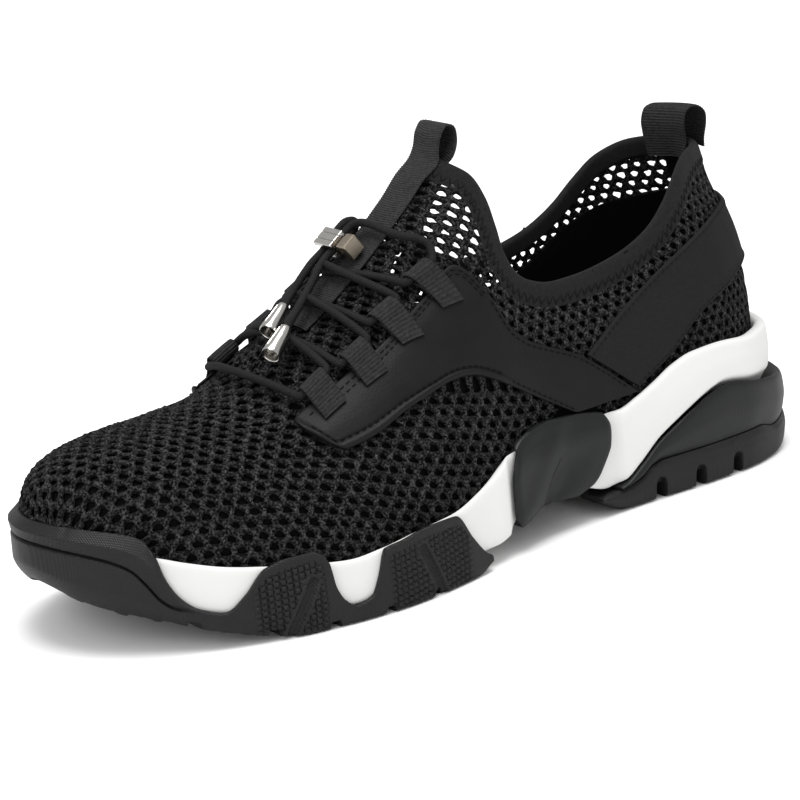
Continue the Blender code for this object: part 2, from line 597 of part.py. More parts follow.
def saddle_fold(x, level):
    """Height of the saddle's raised band: its front leg and its top, with a recessed panel behind."""
    leg = 1 - ease(x, -17 - 14 * level, -25 - 14 * level)
    crown = ease(level, 0.55, 0.8)
    return 1.6 * np.maximum(leg, crown * (1 - ease(-x, 44, 56)))


def add_saddle(material):
    levels = np.array([1.0, 0.85, 0.7, 0.5, 0.3, 0.1, 0.0])
    e = np.linspace(0, 1, 10)[:, None]
    rear, front = read(SADDLE_EDGES, "rear", levels), read(SADDLE_EDGES, "front", levels)
    x = rear + (front - rear) * e
    level = np.broadcast_to(levels, x.shape)
    low, high = read(SADDLE_BOTTOM, "z", x), read(SADDLE_TOP, "z", x)
    z = low + level * (high - low)
    over_rim = ease(z - read(RIM_TOP, "z", x), 0.3, 2.5)
    inner = RUBBER_WALL + over_rim * (LEDGE + OVERLAY + GAP - RUBBER_WALL + lean_in(x, z) - 2.2)
    outer = inner - RUBBER_WALL - saddle_fold(x, level) * (1 - over_rim) * ease(level, -0.05, 0.15)

    def wall(inset, lift):
        px, half = drawn_in(x, inset)
        lateral = np.stack([px, centre(px) + half, z + lift], -1)
        medial = np.stack([px, centre(px) - half, z + lift], -1)
        under = []
        for share in (0.6, 0.0, -0.6):
            middle = centre(px[:, -1]) + share * half[:, -1]
            under.append(np.stack([px[:, -1], middle, z[:, -1] + lift[:, -1]], -1))
        return np.concatenate([lateral, np.stack(under, 1), medial[:, ::-1]], 1)

    floor = RUBBER_WALL * (1 - ease(level, 0.0, 0.12))
    return add_shell("waist_saddle", wall(outer, 0 * z), wall(inner, floor), material)


def add_insole(material):
    x = HEEL_END + LENGTH * cosine(25)
    bed = footbed(drawn_in(x, ledge(x) + WALL)[0]) + 2 * GAP
    inset = ledge(x) + WALL + 1.2 + lean_in(x, bed + INSOLE)
    loops = ((inset + 0.6, bed), (inset, bed + 0.8), (inset, bed + INSOLE - 0.8), (inset + 0.8, bed + INSOLE))
    return add_loft("insole", [edge_loop(x, i, z, True) for i, z in loops], material, True)


# Upper

def add_upper(material):
    ring = around(bootie(10, 29, BINDING_WIDTH + GAP))
    return add_shell("upper", ring, ring - WALL * ring_normals(ring), material, closed=True, sharp_deg=60.0)


def add_binding(material):
    insets = np.array([BINDING_WIDTH, 0.5 * BINDING_WIDTH, 0.7])
    grid = np.stack([collar_line(inset, 29) for inset in insets], 1)
    ring = around(grid)
    normal = ring_normals(ring)
    return add_shell("collar_binding", ring + BINDING_PROUD * normal, ring - (WALL + BINDING_PROUD) * normal,
                     material, closed=True, sharp_deg=60.0)


# Overlays on the upper

def ruled(table, fractions, columns):
    """Side view grid between a table's low and high edge, at fractions of their length."""
    data = np.array(table[1], float)
    low = along(spline(data[:, :2], 300), fractions)[:, None]
    high = along(spline(data[:, 2:], 300), fractions)[:, None]
    across = np.linspace(0, 1, columns)[None, :, None]
    return low + (high - low) * across


def above_sole(x, z):
    """Heights z kept clear above the foam's rim and the waist saddle."""
    saddle = np.where((x > -60.5) & (x < -9), read(SADDLE_TOP, "z", x), 0.0)
    return np.maximum(z, np.maximum(rim_top(x), saddle) + 2 * GAP)


def add_eyestay(name, side, material):
    grid = ruled(EYESTAY, np.linspace(0, 1, 16), 4)
    x = grid[..., 0]
    z = above_sole(x, grid[..., 1])
    outer = side_surface(x, z, side, np.full(x.shape, OVERLAY_LIFT + OVERLAY))
    inner = side_surface(x, z, side, np.full(x.shape, OVERLAY_LIFT))
    return add_shell(name, outer, inner, material)


def add_heel_strap(material):
    grid = ruled(STRAP, np.sin(np.linspace(0, np.pi / 2, 11)), 4)
    grid[..., 1] = above_sole(grid[..., 0], grid[..., 1])
    grid[-1, :, 0] = read(HEEL_BACK, "x", grid[-1, :, 1])
    lateral = side_point(grid[..., 0], grid[..., 1], 1)
    medial = side_point(grid[..., 0], grid[..., 1], -1)
    lateral[-1, :, 1] = centre(lateral[-1, :, 0])
    band = np.concatenate([lateral, medial[-2::-1]])
    normal = np.cross(np.gradient(band, axis=0), np.gradient(band, axis=1))
    normal /= np.linalg.norm(normal, axis=-1, keepdims=True)
    outer, inner = band + (OVERLAY_LIFT + OVERLAY) * normal, band + OVERLAY_LIFT * normal
    return add_shell("heel_strap", outer, inner, material)


def add_band(name, rows, material):
    """Webbing along a grid of its middle points: rows along its path and columns across it."""
    normal = np.cross(np.gradient(rows, axis=0), np.gradient(rows, axis=1))
    normal /= np.linalg.norm(normal, axis=-1, keepdims=True)
    half = WEBBING / 2
    return add_shell(name, rows + half * normal, rows - half * normal, material)


def add_tongue_strip(material):
    """Webbing up the ridge of the instep, over the top of the tongue as a pull loop, and down inside it."""
    across = np.linspace(-0.5, 0.5, 5) * STRIP_WIDTH
    top = collar_line(0.0, 50)[-1, 0]
    x = np.array([STRIP_FRONT, 30, 20, 10, 2, -6, top + 6.5, top + 0.5])[:, None]
    on_binding = ease(-x, -top - 10.5, -top - 9)
    lift = OVERLAY_LIFT + WEBBING / 2 + BINDING_PROUD * on_binding
    outside = top_surface(x, ridge_y(x) + across, lift + 0 * across)
    free = np.array(TONGUE_LOOP)[:, None, :]
    middle = ridge_y(np.array(top)) + across
    loop = np.stack(np.broadcast_arrays(free[..., 0], middle, free[..., 1]), -1).copy()
    sag = outside[-1, :, 2] - outside[-1, 2, 2]
    loop[0, :, 2] += 0.6 * sag
    loop[1, :, 2] += 0.2 * sag
    loop[-1, :, 2] += 0.6 * sag
    x = np.array([top - 1.0, top + 5.0, top + 10.0])[:, None]
    depth = WALL + 2 * BINDING_PROUD + GAP + WEBBING / 2
    inside = top_surface(x, ridge_y(x) + across, -depth + 0 * across)
    return add_band("tongue_strip", np.concatenate([outside, loop, inside]), material)


def add_heel_loop(material):
    """Webbing from inside the collar over the heel as a pull loop and down its back."""
    across = np.array([-0.5, 0.0, 0.5]) * HEEL_LOOP_WIDTH
    path = spline(HEEL_LOOP, 14)[:, None, :]
    inside, outside = 14.0, 24.0                          # radii that the two layers follow across the heel
    share = np.linspace(0, 1, len(path))[:, None]
    bend = across ** 2 / 2 * ((1 - share) / inside + share / outside)
    x = path[..., 0] + bend
    y = centre(path[..., 0]) + across
    return add_band("heel_loop", np.stack(np.broadcast_arrays(x, y, path[..., 1]), -1), material)


# Lacing

def lace_loop_rows():
    names, data = LACE_LOOPS
    return [dict(zip(names, row)) for row in data]


def mirrored(x, y, side):
    """Plan place of a lateral point, or of the medial point at the same height."""
    return y if side > 0 else side_point(x, top_point(x, y)[..., 2], side)[..., 1]


def add_lace_loop(name, row, side, material):
    """Webbing folded round the cord: lower layer on the eyestay, turn round the tunnel, upper layer."""
    run = math.hypot(row["end_x"] - row["x"], row["end_y"] - row["y"])
    turn = np.linspace(-0.5 * np.pi, -1.5 * np.pi, 6)
    flat = OVERLAY_LIFT + OVERLAY + 2 * GAP + WEBBING / 2
    second = flat + WEBBING + GAP
    plan_scale = 0.8                                      # plan length of a step along the sloping side
    path_d = np.concatenate([[run, 3.2], plan_scale * LACE_TUNNEL * np.cos(turn), [3.4, run]])
    path_h = np.concatenate([[flat, flat], CORD_LIFT + LACE_TUNNEL * np.sin(turn), [second + 0.1, second]])
    share = path_d[:, None] / run
    offset = np.array([-1.0, 1.0]) * LACE_LOOP_HALF
    x = row["x"] + share * (row["end_x"] - row["x"]) + offset
    y = row["y"] + share * (row["end_y"] - row["y"]) + 0 * offset
    rows = top_surface(x, mirrored(x, y, side), path_h[:, None] + 0 * x)
    return add_band(name, rows, material)


def add_tube(name, path, material):
    """Cord along a path, with flat ends."""
    tangent = np.gradient(path, axis=0)
    across = np.cross(tangent, (0.0, 0.0, 1.0))
    across /= np.linalg.norm(across, axis=1, keepdims=True)
    up = np.cross(across, tangent)
    up /= np.linalg.norm(up, axis=1, keepdims=True)
    turn = np.linspace(0, 2 * np.pi, CORD_SIDES, endpoint=False)[None, :, None]
    rings = path[:, None] + CORD / 2 * (np.cos(turn) * across[:, None] + np.sin(turn) * up[:, None])
    faces = []
    for k in range(len(path) - 1):
        for i in range(CORD_SIDES):
            j = (i + 1) % CORD_SIDES
            low, high = k * CORD_SIDES, (k + 1) * CORD_SIDES
            faces.append((low + i, low + j, high + j, high + i))
    last = (len(path) - 1) * CORD_SIDES
    faces.append(tuple(range(CORD_SIDES))[::-1])
    faces.append(tuple(range(last, last + CORD_SIDES)))
    return add_solid(name, rings.reshape(-1, 3), faces, material)


def strand(start, end, bulge, count):
    """Cord over the instep from one lace loop to one across the ridge, leaving each in line with the shoe."""
    t = np.linspace(0, 1, count)
    x = start[0] + (end[0] - start[0]) * t + bulge * np.sin(np.pi * t) ** 2
    first = start[1] - ridge_y(np.array(start[0]))
    second = end[1] - ridge_y(np.array(end[0]))
    y = ridge_y(x) + 0.5 * (first + second) + 0.5 * (first - second) * np.cos(np.pi * t)
    return top_surface(x, y, np.full(count, CORD_LIFT))


def loop_mouth(row, side, ahead):
    """Plan place just outside a lace loop's tunnel: ahead is 1 for its front mouth, -1 for its rear."""
    x = row["x"] + ahead * (LACE_LOOP_HALF + MOUTH_GAPS[ahead])
    return x, float(mirrored(np.array(x), np.array(row["y"]), side))


def add_laces(material):
    rows = lace_loop_rows()
    first = strand(loop_mouth(rows[0], -1, 1), loop_mouth(rows[0], 1, 1), FRONT_BAR_BULGE, 9)
    add_tube("lace_bar_front", first, material)
    for k, bulge in enumerate(CROSS_BULGES):
        near, far = rows[k], rows[k + 1]
        over_path = strand(loop_mouth(near, 1, -1), loop_mouth(far, -1, 1), bulge, 8)
        under_path = strand(loop_mouth(near, -1, -1), loop_mouth(far, 1, 1), bulge, 8)
        cross = add_tube("lace_cross_%d" % (k + 1), over_path, material)
        under = add_tube("lace_cross_%d_under" % (k + 1), under_path, material)
        under.hide_render = True
        under.display_type = "WIRE"
        union = cross.modifiers.new("join", "BOOLEAN")
        union.operation = "UNION"
        union.solver = "EXACT"
        union.object = under
    for side, name in ((1, "lace_top_lateral"), (-1, "lace_top_medial")):
        x, y = loop_mouth(rows[-1], side, -1)
        start = top_surface(np.array([x, x - 1.5]), np.array([y, y - side * 2.5]), np.full(2, CORD_LIFT))
        rise = top_surface(np.array([x + 5.5]), np.array([0.6 * y]), np.full(1, CORD_LIFT + 0.5))
        behind = -LOCK_DEPTH - GAP
        end = np.array([lock_point(behind - run, -5.0 + 2.3 * side, 0.0) for run in (3.0, 0.0)])
        add_tube(name, spline(np.concatenate([start, rise, end]), 9), material)


def lock_point(forward, sideways, up):
    """Point of the cord lock in its own axes: down the instep, across the shoe and out of the ridge."""
    x, y, lift = LOCK_PLACE
    slope = (ridge(np.array(x + 1.0)) - ridge(np.array(x - 1.0))) / 2
    tangent = np.array([1.0, 0.0, slope]) / np.hypot(1.0, slope)
    normal = np.array([-tangent[2], 0.0, tangent[0]])
    middle = np.array([x, y, float(ridge(np.array(x)))]) + lift * normal
    return middle + forward * tangent + sideways * np.array([0.0, 1.0, 0.0]) + up * normal


def add_stack(name, rings, material):
    """Solid through rings of points, capped by its first and its last ring."""
    sides = len(rings[0])
    faces = [tuple(range(sides))[::-1]]
    for k in range(len(rings) - 1):
        for i in range(sides):
            j = (i + 1) % sides
            low, high = k * sides, (k + 1) * sides
            faces.append((low + i, low + j, high + j, high + i))
    last = (len(rings) - 1) * sides
    faces.append(tuple(range(last, last + sides)))
    return add_solid(name, np.concatenate(rings), faces, material, sharp_deg=30.0)


def lock_ring(sideways, depth, height):
    """Chamfered rectangle of the lock, given its half depth and its half height."""
    cut = 0.25 * height
    corners = (
        (depth, height - cut), (depth - cut, height), (cut - depth, height), (-depth, height - cut),
        (-depth, cut - height), (cut - depth, -height), (depth - cut, -height), (depth, cut - height))
    return np.array([lock_point(forward, sideways, up) for forward, up in corners])


def add_lock(steel, bronze):
    """Cord lock: a body, and a button whose own origin is on the line that it is pressed along."""
    add_stack("lock_body", [lock_ring(*row) for row in LOCK_BODY[1]], steel)
    button = add_stack("lock_button", [lock_ring(*row) for row in LOCK_BUTTON[1]], bronze)
    middle = (lock_point(0.0, 0.0, 0.0) - ORIGIN) * MM
    button.data.transform(Matrix.Translation(-Vector(middle)))
    button.location = middle


def add_tail(name, route, cord, steel):
    """Free lace end as a cord along its route, with a metal tip in line with the cord's end."""
    tip_name = name.replace("lace_tail", "cord_tip")
    path = spline(route, 8)
    curve = bpy.data.curves.new(name, "CURVE")
    curve.dimensions = "3D"
    curve.bevel_depth = CORD / 2 * MM
    curve.bevel_resolution = 2
    curve.use_fill_caps = True
    line = curve.splines.new("POLY")
    line.points.add(len(path) - 1)
    for point, place in zip(line.points, (path - ORIGIN) * MM):
        point.co = (*place, 1.0)
    curve.materials.append(cord)
    bpy.context.scene.collection.objects.link(bpy.data.objects.new(name, curve))
    axis = path[-1] - path[-2]
    axis /= np.linalg.norm(axis)
    across = np.array([0.0, 1.0, 0.0])
    up = np.cross(axis, across)
    up /= np.linalg.norm(up)
    across = np.cross(up, axis)
    rings = []
    turn = np.linspace(0, 2 * np.pi, TIP_SIDES, endpoint=False)[:, None]
    for share, radius in TIP_RADII[1]:
        middle = path[-1] + (GAP + share * TIP_LENGTH) * axis
        rings.append(middle + radius * (np.cos(turn) * across + np.sin(turn) * up))
    add_stack(tip_name, rings, steel)


def main():
    for leftover in list(bpy.data.objects):
        bpy.data.objects.remove(leftover)
    rubber = make_material("black_rubber", (0.020, 0.020, 0.021), 0.55)
    foam = make_material("white_foam", (0.86, 0.86, 0.85), 0.6)
    moulded = make_material("black_moulding", (0.025, 0.026, 0.028), 0.4)
    knit = make_material("black_knit", (0.012, 0.012, 0.013), 0.9)
    binding = make_material("black_binding", (0.018, 0.018, 0.019), 0.85)
    board = make_material("insole_cloth", (0.02, 0.02, 0.02), 0.95)
    add_outsole(rubber)
    add_midsole(foam)
    add_heel_block(moulded)
    add_heel_tread(rubber)
    add_saddle(moulded)
    add_insole(board)
    add_upper(knit)
    add_binding(binding)
    leather = make_material("black_leather", (0.022, 0.022, 0.023), 0.5)
    webbing = make_material("black_webbing", (0.02, 0.02, 0.021), 0.8)
    elastic = make_material("black_elastic", (0.02, 0.02, 0.02), 0.75)
    steel = make_material("bright_steel", (0.72, 0.70, 0.67), 0.25, metallic=1.0)
    bronze = make_material("dull_bronze", (0.40, 0.33, 0.25), 0.4, metallic=1.0)
    add_eyestay("eyestay_lateral", 1, leather)
    add_eyestay("eyestay_medial", -1, leather)
    add_heel_strap(webbing)
    add_tongue_strip(webbing)
    add_heel_loop(webbing)
    for k, row in enumerate(lace_loop_rows(), start=1):
        add_lace_loop("lace_loop_lateral_%d" % k, row, 1, webbing)
        add_lace_loop("lace_loop_medial_%d" % k, row, -1, webbing)
    add_laces(elastic)
    add_lock(steel, bronze)
    add_tail("lace_tail_upper", TAIL_UPPER, elastic, steel)
    add_tail("lace_tail_lower", TAIL_LOWER, elastic, steel)


main()
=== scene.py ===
import math

import bmesh
import bpy
import numpy as np
from mathutils import Matrix


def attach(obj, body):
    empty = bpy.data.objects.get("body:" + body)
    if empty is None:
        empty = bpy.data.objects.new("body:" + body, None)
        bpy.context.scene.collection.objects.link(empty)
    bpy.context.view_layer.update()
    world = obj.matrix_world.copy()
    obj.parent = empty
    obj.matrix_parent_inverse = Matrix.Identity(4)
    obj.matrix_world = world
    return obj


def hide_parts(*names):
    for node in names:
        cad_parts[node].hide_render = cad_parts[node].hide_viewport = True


# Low knit work shoe for the left foot. Shapes are worked out in millimetres measured from the waist
# of the sole: +x to the toe, +y to the outer side, +z up from the floor.
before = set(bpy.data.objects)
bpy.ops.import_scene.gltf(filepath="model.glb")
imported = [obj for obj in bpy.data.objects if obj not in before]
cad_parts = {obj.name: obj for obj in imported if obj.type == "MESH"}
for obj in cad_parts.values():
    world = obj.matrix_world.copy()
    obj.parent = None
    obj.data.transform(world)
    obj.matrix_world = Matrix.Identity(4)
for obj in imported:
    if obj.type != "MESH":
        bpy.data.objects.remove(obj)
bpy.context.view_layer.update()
origin = np.array([-6.5, 1.2, 0.0])      # middle of the sole in those measures
metre = 0.001                            # metres in a millimetre
gap = 0.3                                # air between the pieces of the sole
rubberWall = 1.8
ledgeWidth = 4.2                         # how far the upper stands in from the sole's edge, before the heel

# Plan of the sole: place, centre line, half width.
soleEnds = (-160.5, 147.5)
solePlan = np.array([
    (-160.5, -1.0, 0.0), (-157.5, -1.0, 14.0), (-151.5, -1.0, 24.5), (-140, -1.0, 33.0), (-122, -1.0, 38.5),
    (-100, -1.0, 39.8), (-72, -0.3, 38.7), (-40, 2.2, 38.0), (-10, 4.2, 42.5), (20, 5.2, 50.0),
    (50, 3.2, 55.0), (75, -0.4, 55.4), (97, -3.5, 51.2), (116, -5.5, 43.2), (130.5, -6.8, 33.0),
    (140.5, -7.2, 21.5), (145.5, -7.5, 10.5), (147.5, -7.5, 0.0)])
upperEnds = (-150.0, 143.3)

# Sections of the last: place, footbed, height over it, fullness, lean of the ridge.
lastRows = np.array([
    (-150.0, 35.0, 165.0, 1.2, -1.5), (-110, 35.0, 150.0, 1.2, -1.5), (-75, 33.5, 130.0, 1.25, -1.5),
    (-50, 31.0, 117.0, 1.35, -2.5), (-35, 29.0, 110.5, 1.5, -3.5), (-20, 27.0, 105.0, 1.65, -4.5),
    (-8, 25.5, 95.5, 1.8, -5.5), (9, 23.2, 83.0, 1.9, -5.8), (18, 22.0, 77.5, 2.0, -5.5),
    (38, 19.5, 66.0, 2.1, -5.0), (50, 18.5, 59.5, 2.2, -5.0), (60, 18.0, 53.5, 2.3, -4.5),
    (70, 17.8, 49.0, 2.4, -3.5), (85, 18.0, 46.2, 2.5, -3.0), (100, 19.5, 43.8, 2.7, -2.0),
    (113, 22.5, 40.0, 2.9, -1.0), (124, 26.0, 35.0, 3.0, 0.0), (134, 29.0, 28.5, 3.0, 0.0),
    (140.5, 31.5, 20.0, 3.0, 0.0), (143.3, 33.0, 0.0, 3.0, 0.0)])
# Back of the heel: height, place. Collar line and rim of the sole: place, height.
heelBack = np.array([(30, -150.0), (52, -149.9), (64, -149.0), (80, -145.8), (92, -141.5), (103, -137.0),
                     (116, -134.0)])
collarRows = np.array([
    (-134.0, 116.0), (-128, 116.0), (-119, 115.0), (-110, 110.8), (-101, 103.0), (-92, 95.5), (-82, 90.5),
    (-69, 87.0), (-55, 85.5), (-42, 86.5), (-34.5, 90.5), (-31, 98.0), (-30.5, 107.5), (-30, 117.0),
    (-27.5, 125.0), (-21.5, 130.5)])
rimTop = np.array([
    (-160.5, 46.5), (-130, 48.0), (-110, 50.0), (-99, 49.5), (-90, 47.0), (-81, 42.5), (-73, 39.0),
    (-65, 36.5), (-50, 36.0), (-30, 36.0), (-12, 35.0), (4, 28.0), (20, 24.5), (33, 24.0), (51, 22.0),
    (61, 21.0), (71, 22.0), (92, 25.0), (104, 27.0), (115, 30.0), (121, 32.0), (131, 34.5), (147.5, 37.0)])


# Monotone cubic through (xs, ys): harmonic mean of the neighbouring slopes, zero where they turn.
def monotone(xs, ys, x):
    step = np.diff(xs)
    slope = np.diff(ys) / step
    before, after = slope[:-1], slope[1:]
    sameWay = before * after > 0
    wa, wb = 2 * step[1:] + step[:-1], step[1:] + 2 * step[:-1]
    harmonic = (wa + wb) / (wa / np.where(sameWay, before, 1.0) + wb / np.where(sameWay, after, 1.0))
    tangent = np.concatenate(([slope[0]], np.where(sameWay, harmonic, 0.0), [slope[-1]]))
    x = np.clip(x, xs[0], xs[-1])
    i = np.clip(np.searchsorted(xs, x, side="right") - 1, 0, len(xs) - 2)
    t = (x - xs[i]) / step[i]
    rise = ys[i] * (1 + 2 * t) * (1 - t) ** 2 + ys[i + 1] * t * t * (3 - 2 * t)
    return rise + step[i] * (tangent[i] * t * (1 - t) ** 2 - tangent[i + 1] * t * t * (1 - t))


# Column k of a table at x; with power 2 the squares are read, so that ends come out round.
def column(table, k, x, power=1):
    table = np.asarray(table, float)
    value = monotone(table[:, 0], table[:, k] ** power, np.asarray(x, float))
    return np.sqrt(np.maximum(value, 0.0)) if power == 2 else value


# Smooth step, 3t^2 - 2t^3 between start and end.
def ease(x, start, end):
    t = np.clip((np.asarray(x, float) - start) / (end - start), 0.0, 1.0)
    return t * t * (3 - 2 * t)


def summed(steps):                       # running total of steps, from nothing
    return np.concatenate(([0.0], np.cumsum(steps)))


def runOf(curve):                        # distance run along a polyline at each of its points
    return summed(np.linalg.norm(np.diff(curve, axis=0), axis=1))


# Points at fractions of a polyline's length.
def along(curve, fraction):
    run = runOf(curve)
    place = np.asarray(fraction) * run[-1]
    return np.stack([np.interp(place, run, curve[:, k]) for k in range(curve.shape[1])], -1)


# Cubic through points with centred tangents, read at count places even along its length.
def spline(points, count):
    points = np.array(points, float)
    chord = runOf(points)
    tangent = np.gradient(points, chord, axis=0)
    t = np.linspace(0, chord[-1], 40 * len(points))
    i = np.clip(np.searchsorted(chord, t, side="right") - 1, 0, len(chord) - 2)
    step = (chord[i + 1] - chord[i])[:, None]
    u = (t - chord[i])[:, None] / step
    curve = points[i] * (1 + 2 * u) * (1 - u) ** 2 + points[i + 1] * u * u * (3 - 2 * u)
    curve += step * (tangent[i] * u * (1 - u) ** 2 - tangent[i + 1] * u * u * (1 - u))
    return along(curve, np.linspace(0, 1, count))


# Shares from 0 to 1 that close up at both ends: (1 - cos) / 2 over half a turn.
def cosine(count):
    return (1 - np.cos(np.linspace(0, np.pi, count))) / 2


def stations(ends, count):               # places between two ends at those shares
    return ends[0] + (ends[1] - ends[0]) * cosine(count)


# Vectors divided by their lengths.
def unit(v):
    return v / np.maximum(np.linalg.norm(v, axis=-1, keepdims=True), 1e-9)


# Running mean 1-2-1 along the first axis with fixed ends.
def soften(values, passes):
    for _ in range(passes):
        values = np.concatenate([values[:1], (values[:-2] + 2 * values[1:-1] + values[2:]) / 4, values[-1:]])
    return values


planX = stations(soleEnds, 1201)
planHalf = column(solePlan, 2, planX, power=2)
planRun = np.hypot(np.gradient(planX), np.gradient(planHalf))
normalX = -np.gradient(planHalf) / planRun
normalHalf = np.gradient(planX) / planRun
normalX[[0, -1]] = (-1.0, 1.0)
normalHalf[[0, -1]] = 0.0


def ledge(x):                            # grows round the heel
    return ledgeWidth + 6.3 * ease(-x, 110, 150)


upperX = planX - ledge(planX) * normalX
upperHalf = np.maximum(planHalf - ledge(planX) * normalHalf, 0.0)


# Readings of those tables: centre line, footbed, ridge, fullness, lean, and the ridge's line in plan.
def centre(x):
    return column(solePlan, 1, x)


def footbed(x):
    return column(lastRows, 1, x)


def ridge(x):
    return footbed(x) + column(lastRows, 2, x, power=2)


def fullness(x):
    return column(lastRows, 3, x)


def lean(x):
    return column(lastRows, 4, x)


def ridgeY(x):
    return centre(x) + lean(x)


# How far the heel's back comes forward at height z, fading out towards the waist.
def heelLean(x, z):
    return (column(heelBack, 1, z) - upperEnds[0]) * (1 - ease(x, -120, -50))


# Half width of the last: the plan's half width times sqrt(1 - level^fullness).
def section(x, z):
    base = np.interp(x - heelLean(x, z), upperX, upperHalf)
    level = np.clip((z - footbed(x)) / np.maximum(ridge(x) - footbed(x), 1e-6), 0.0, 1.0)
    return base * np.sqrt(1 - level ** fullness(x)), level


# Side view point on the last: centre line plus lean times level, and the half width to its side.
def sidePoint(x, z, side):
    half, level = section(x, z)
    return np.stack([x, centre(x) + lean(x) * level + side * half, z], -1)


# Plan view point of the last; a few rounds settle its level, because the middle leans with it.
def topPoint(x, y):
    base = np.interp(x, upperX, upperHalf)
    level = np.ones(np.broadcast(x, y).shape)
    for _ in range(6):
        middle = centre(x) + lean(x) * level
        across = np.clip(np.abs(y - middle) / base, 0.0, 0.999)
        level = (1 - across ** 2) ** (1 / fullness(x))
    return np.stack(np.broadcast_arrays(x, y, footbed(x) + level * (ridge(x) - footbed(x))), -1)


# Point of a surface moved out along its normal, the cross product of differences a nudge to either side.
def lifted(point, a, b, offset, nudge, flip):
    a, b = np.broadcast_arrays(np.asarray(a, float), np.asarray(b, float))
    alongA = point(a + nudge, b) - point(a - nudge, b)
    alongB = point(a, b + nudge) - point(a, b - nudge)
    normal = unit(np.cross(alongA, alongB) * flip)
    return point(a, b) + normal * np.asarray(offset, float)[..., None], normal


def sideSurface(x, z, side, offset):
    return lifted(lambda a, b: sidePoint(a, b, side), x, z, offset, 0.2, -side)


def topSurface(x, y, offset):
    return lifted(topPoint, x, y, offset, 0.3, 1)[0]


collarFine = spline(collarRows, 400)
collarTangent = unit(np.gradient(collarFine, axis=0))
collarDown = np.stack([collarTangent[:, 1], -collarTangent[:, 0]], 1)


# Collar line drawn in towards sole and toe, its front end on the ridge.
def collarLine(inset, count):
    drawn = collarFine + inset * collarDown
    drawn[0, 0] = column(heelBack, 1, drawn[0, 1])
    drawn = np.concatenate([drawn, drawn[-1] + np.linspace(0.2, 15, 60)[:, None] * collarTangent[-1]])
    end = np.argmax(drawn[:, 1] >= ridge(drawn[:, 0]))
    drawn[end, 1] = ridge(drawn[end, 0])
    return along(drawn[:end + 1], cosine(count))


# How far a side view point lies below the collar line, by its nearest place on that line.
def collarInset(x, z):
    points = np.stack([x.ravel(), z.ravel()], 1)
    fine, down = collarFine[::4], collarDown[::4]
    away = points[:, None] - fine[None]
    near = np.argmin((away ** 2).sum(-1), 1)
    return (away[np.arange(len(points)), near] * down[near]).sum(-1).reshape(x.shape)


# Both sides of a side view grid as one closed ring of columns, lateral first.
def around(grid):
    lateral, medial = (sidePoint(grid[..., 0], grid[..., 1], side) for side in (1, -1))
    for half in (lateral, medial):
        half[0, :, 1] = centre(half[0, :, 0])
        half[-1, :, 1] = ridgeY(half[-1, :, 0])
    return np.concatenate([lateral, medial[-2:0:-1]])


# Normals of a closed ring of columns: step along a column crossed with the step to the next one.
def ringNormals(ring):
    alongU = np.roll(ring, -1, axis=0) - np.roll(ring, 1, axis=0)
    return unit(np.cross(np.gradient(ring, axis=1), alongU))


def gridNormals(grid):
    return unit(np.cross(np.gradient(grid, axis=0), np.gradient(grid, axis=1)))


def drawnIn(x, inset):                   # plan's edge drawn in by an inset: place and half width
    nx, nh = np.interp(x, planX, normalX), np.interp(x, planX, normalHalf)
    return x - inset * nx, np.maximum(np.interp(x, planX, planHalf) - inset * nh, 0.0)


# How far the upper leans in at level z from where it meets the footbed.
def leanIn(x, z):
    level = np.clip((z - footbed(x)) / np.maximum(ridge(x) - footbed(x), 8.0), 0.0, 0.9)
    half = np.interp(x, upperX, upperHalf)
    sideways = half * (1 - np.sqrt(1 - level ** fullness(x)))
    toeX = np.linspace(110, upperEnds[1], 80)
    forwards = upperEnds[1] - np.interp(z, ridge(toeX)[::-1], toeX[::-1])
    facing = np.maximum(np.interp(x, planX, normalX), 0.0)
    return sideways * (1 - facing ** 2) + forwards * facing ** 2


# Soft troughs and ridges of the worn knit: ends of each in space, half width and depth.
creases = [
    dict(ends=((66, 44, 30), (60, 26, 58)), width=5.0, depth=-0.8),
    dict(ends=((76, 44, 32), (70, 16, 64)), width=5.5, depth=-0.6),
    dict(ends=((66, -44, 30), (60, -32, 56)), width=5.0, depth=-0.8),
    dict(ends=((77, -46, 32), (72, -22, 62)), width=5.5, depth=-0.6),
    dict(ends=((-8, 44, 44), (22, 46, 50)), width=7.0, depth=0.7),
    dict(ends=((-92, 34, 78), (-66, 33, 68)), width=5.0, depth=-0.7),
    dict(ends=((-92, -36, 78), (-66, -35, 68)), width=5.0, depth=-0.7),
    dict(ends=((-128, 26, 58), (-104, 34, 52)), width=6.0, depth=0.6)]


# Sum of depth times exp(-(distance to the crease's line / width)^2).
def creased(points):
    total = np.zeros(points.shape[:-1])
    for crease in creases:
        a, b = (np.array(end, float) for end in crease["ends"])
        t = np.clip(((points - a) @ (b - a)) / ((b - a) @ (b - a)), 0, 1)
        away = np.linalg.norm(points - (a + t[..., None] * (b - a)), axis=-1)
        total += crease["depth"] * np.exp(-(away / crease["width"]) ** 2)
    return total


# Quads of a grid kept column by column, and the grid steps of their corners.
def gridQuads(columns, rows, closedU=False, closedV=False):
    i, j = np.meshgrid(np.arange(columns - (not closedU)), np.arange(rows - (not closedV)), indexing="ij")
    corners = [(i.ravel() + a, j.ravel() + b) for a, b in ((0, 0), (1, 0), (1, 1), (0, 1))]
    quads = np.stack([a % columns * rows + b % rows for a, b in corners], 1)
    return quads, np.stack([np.stack(c, 1) for c in corners], 1).astype(float)


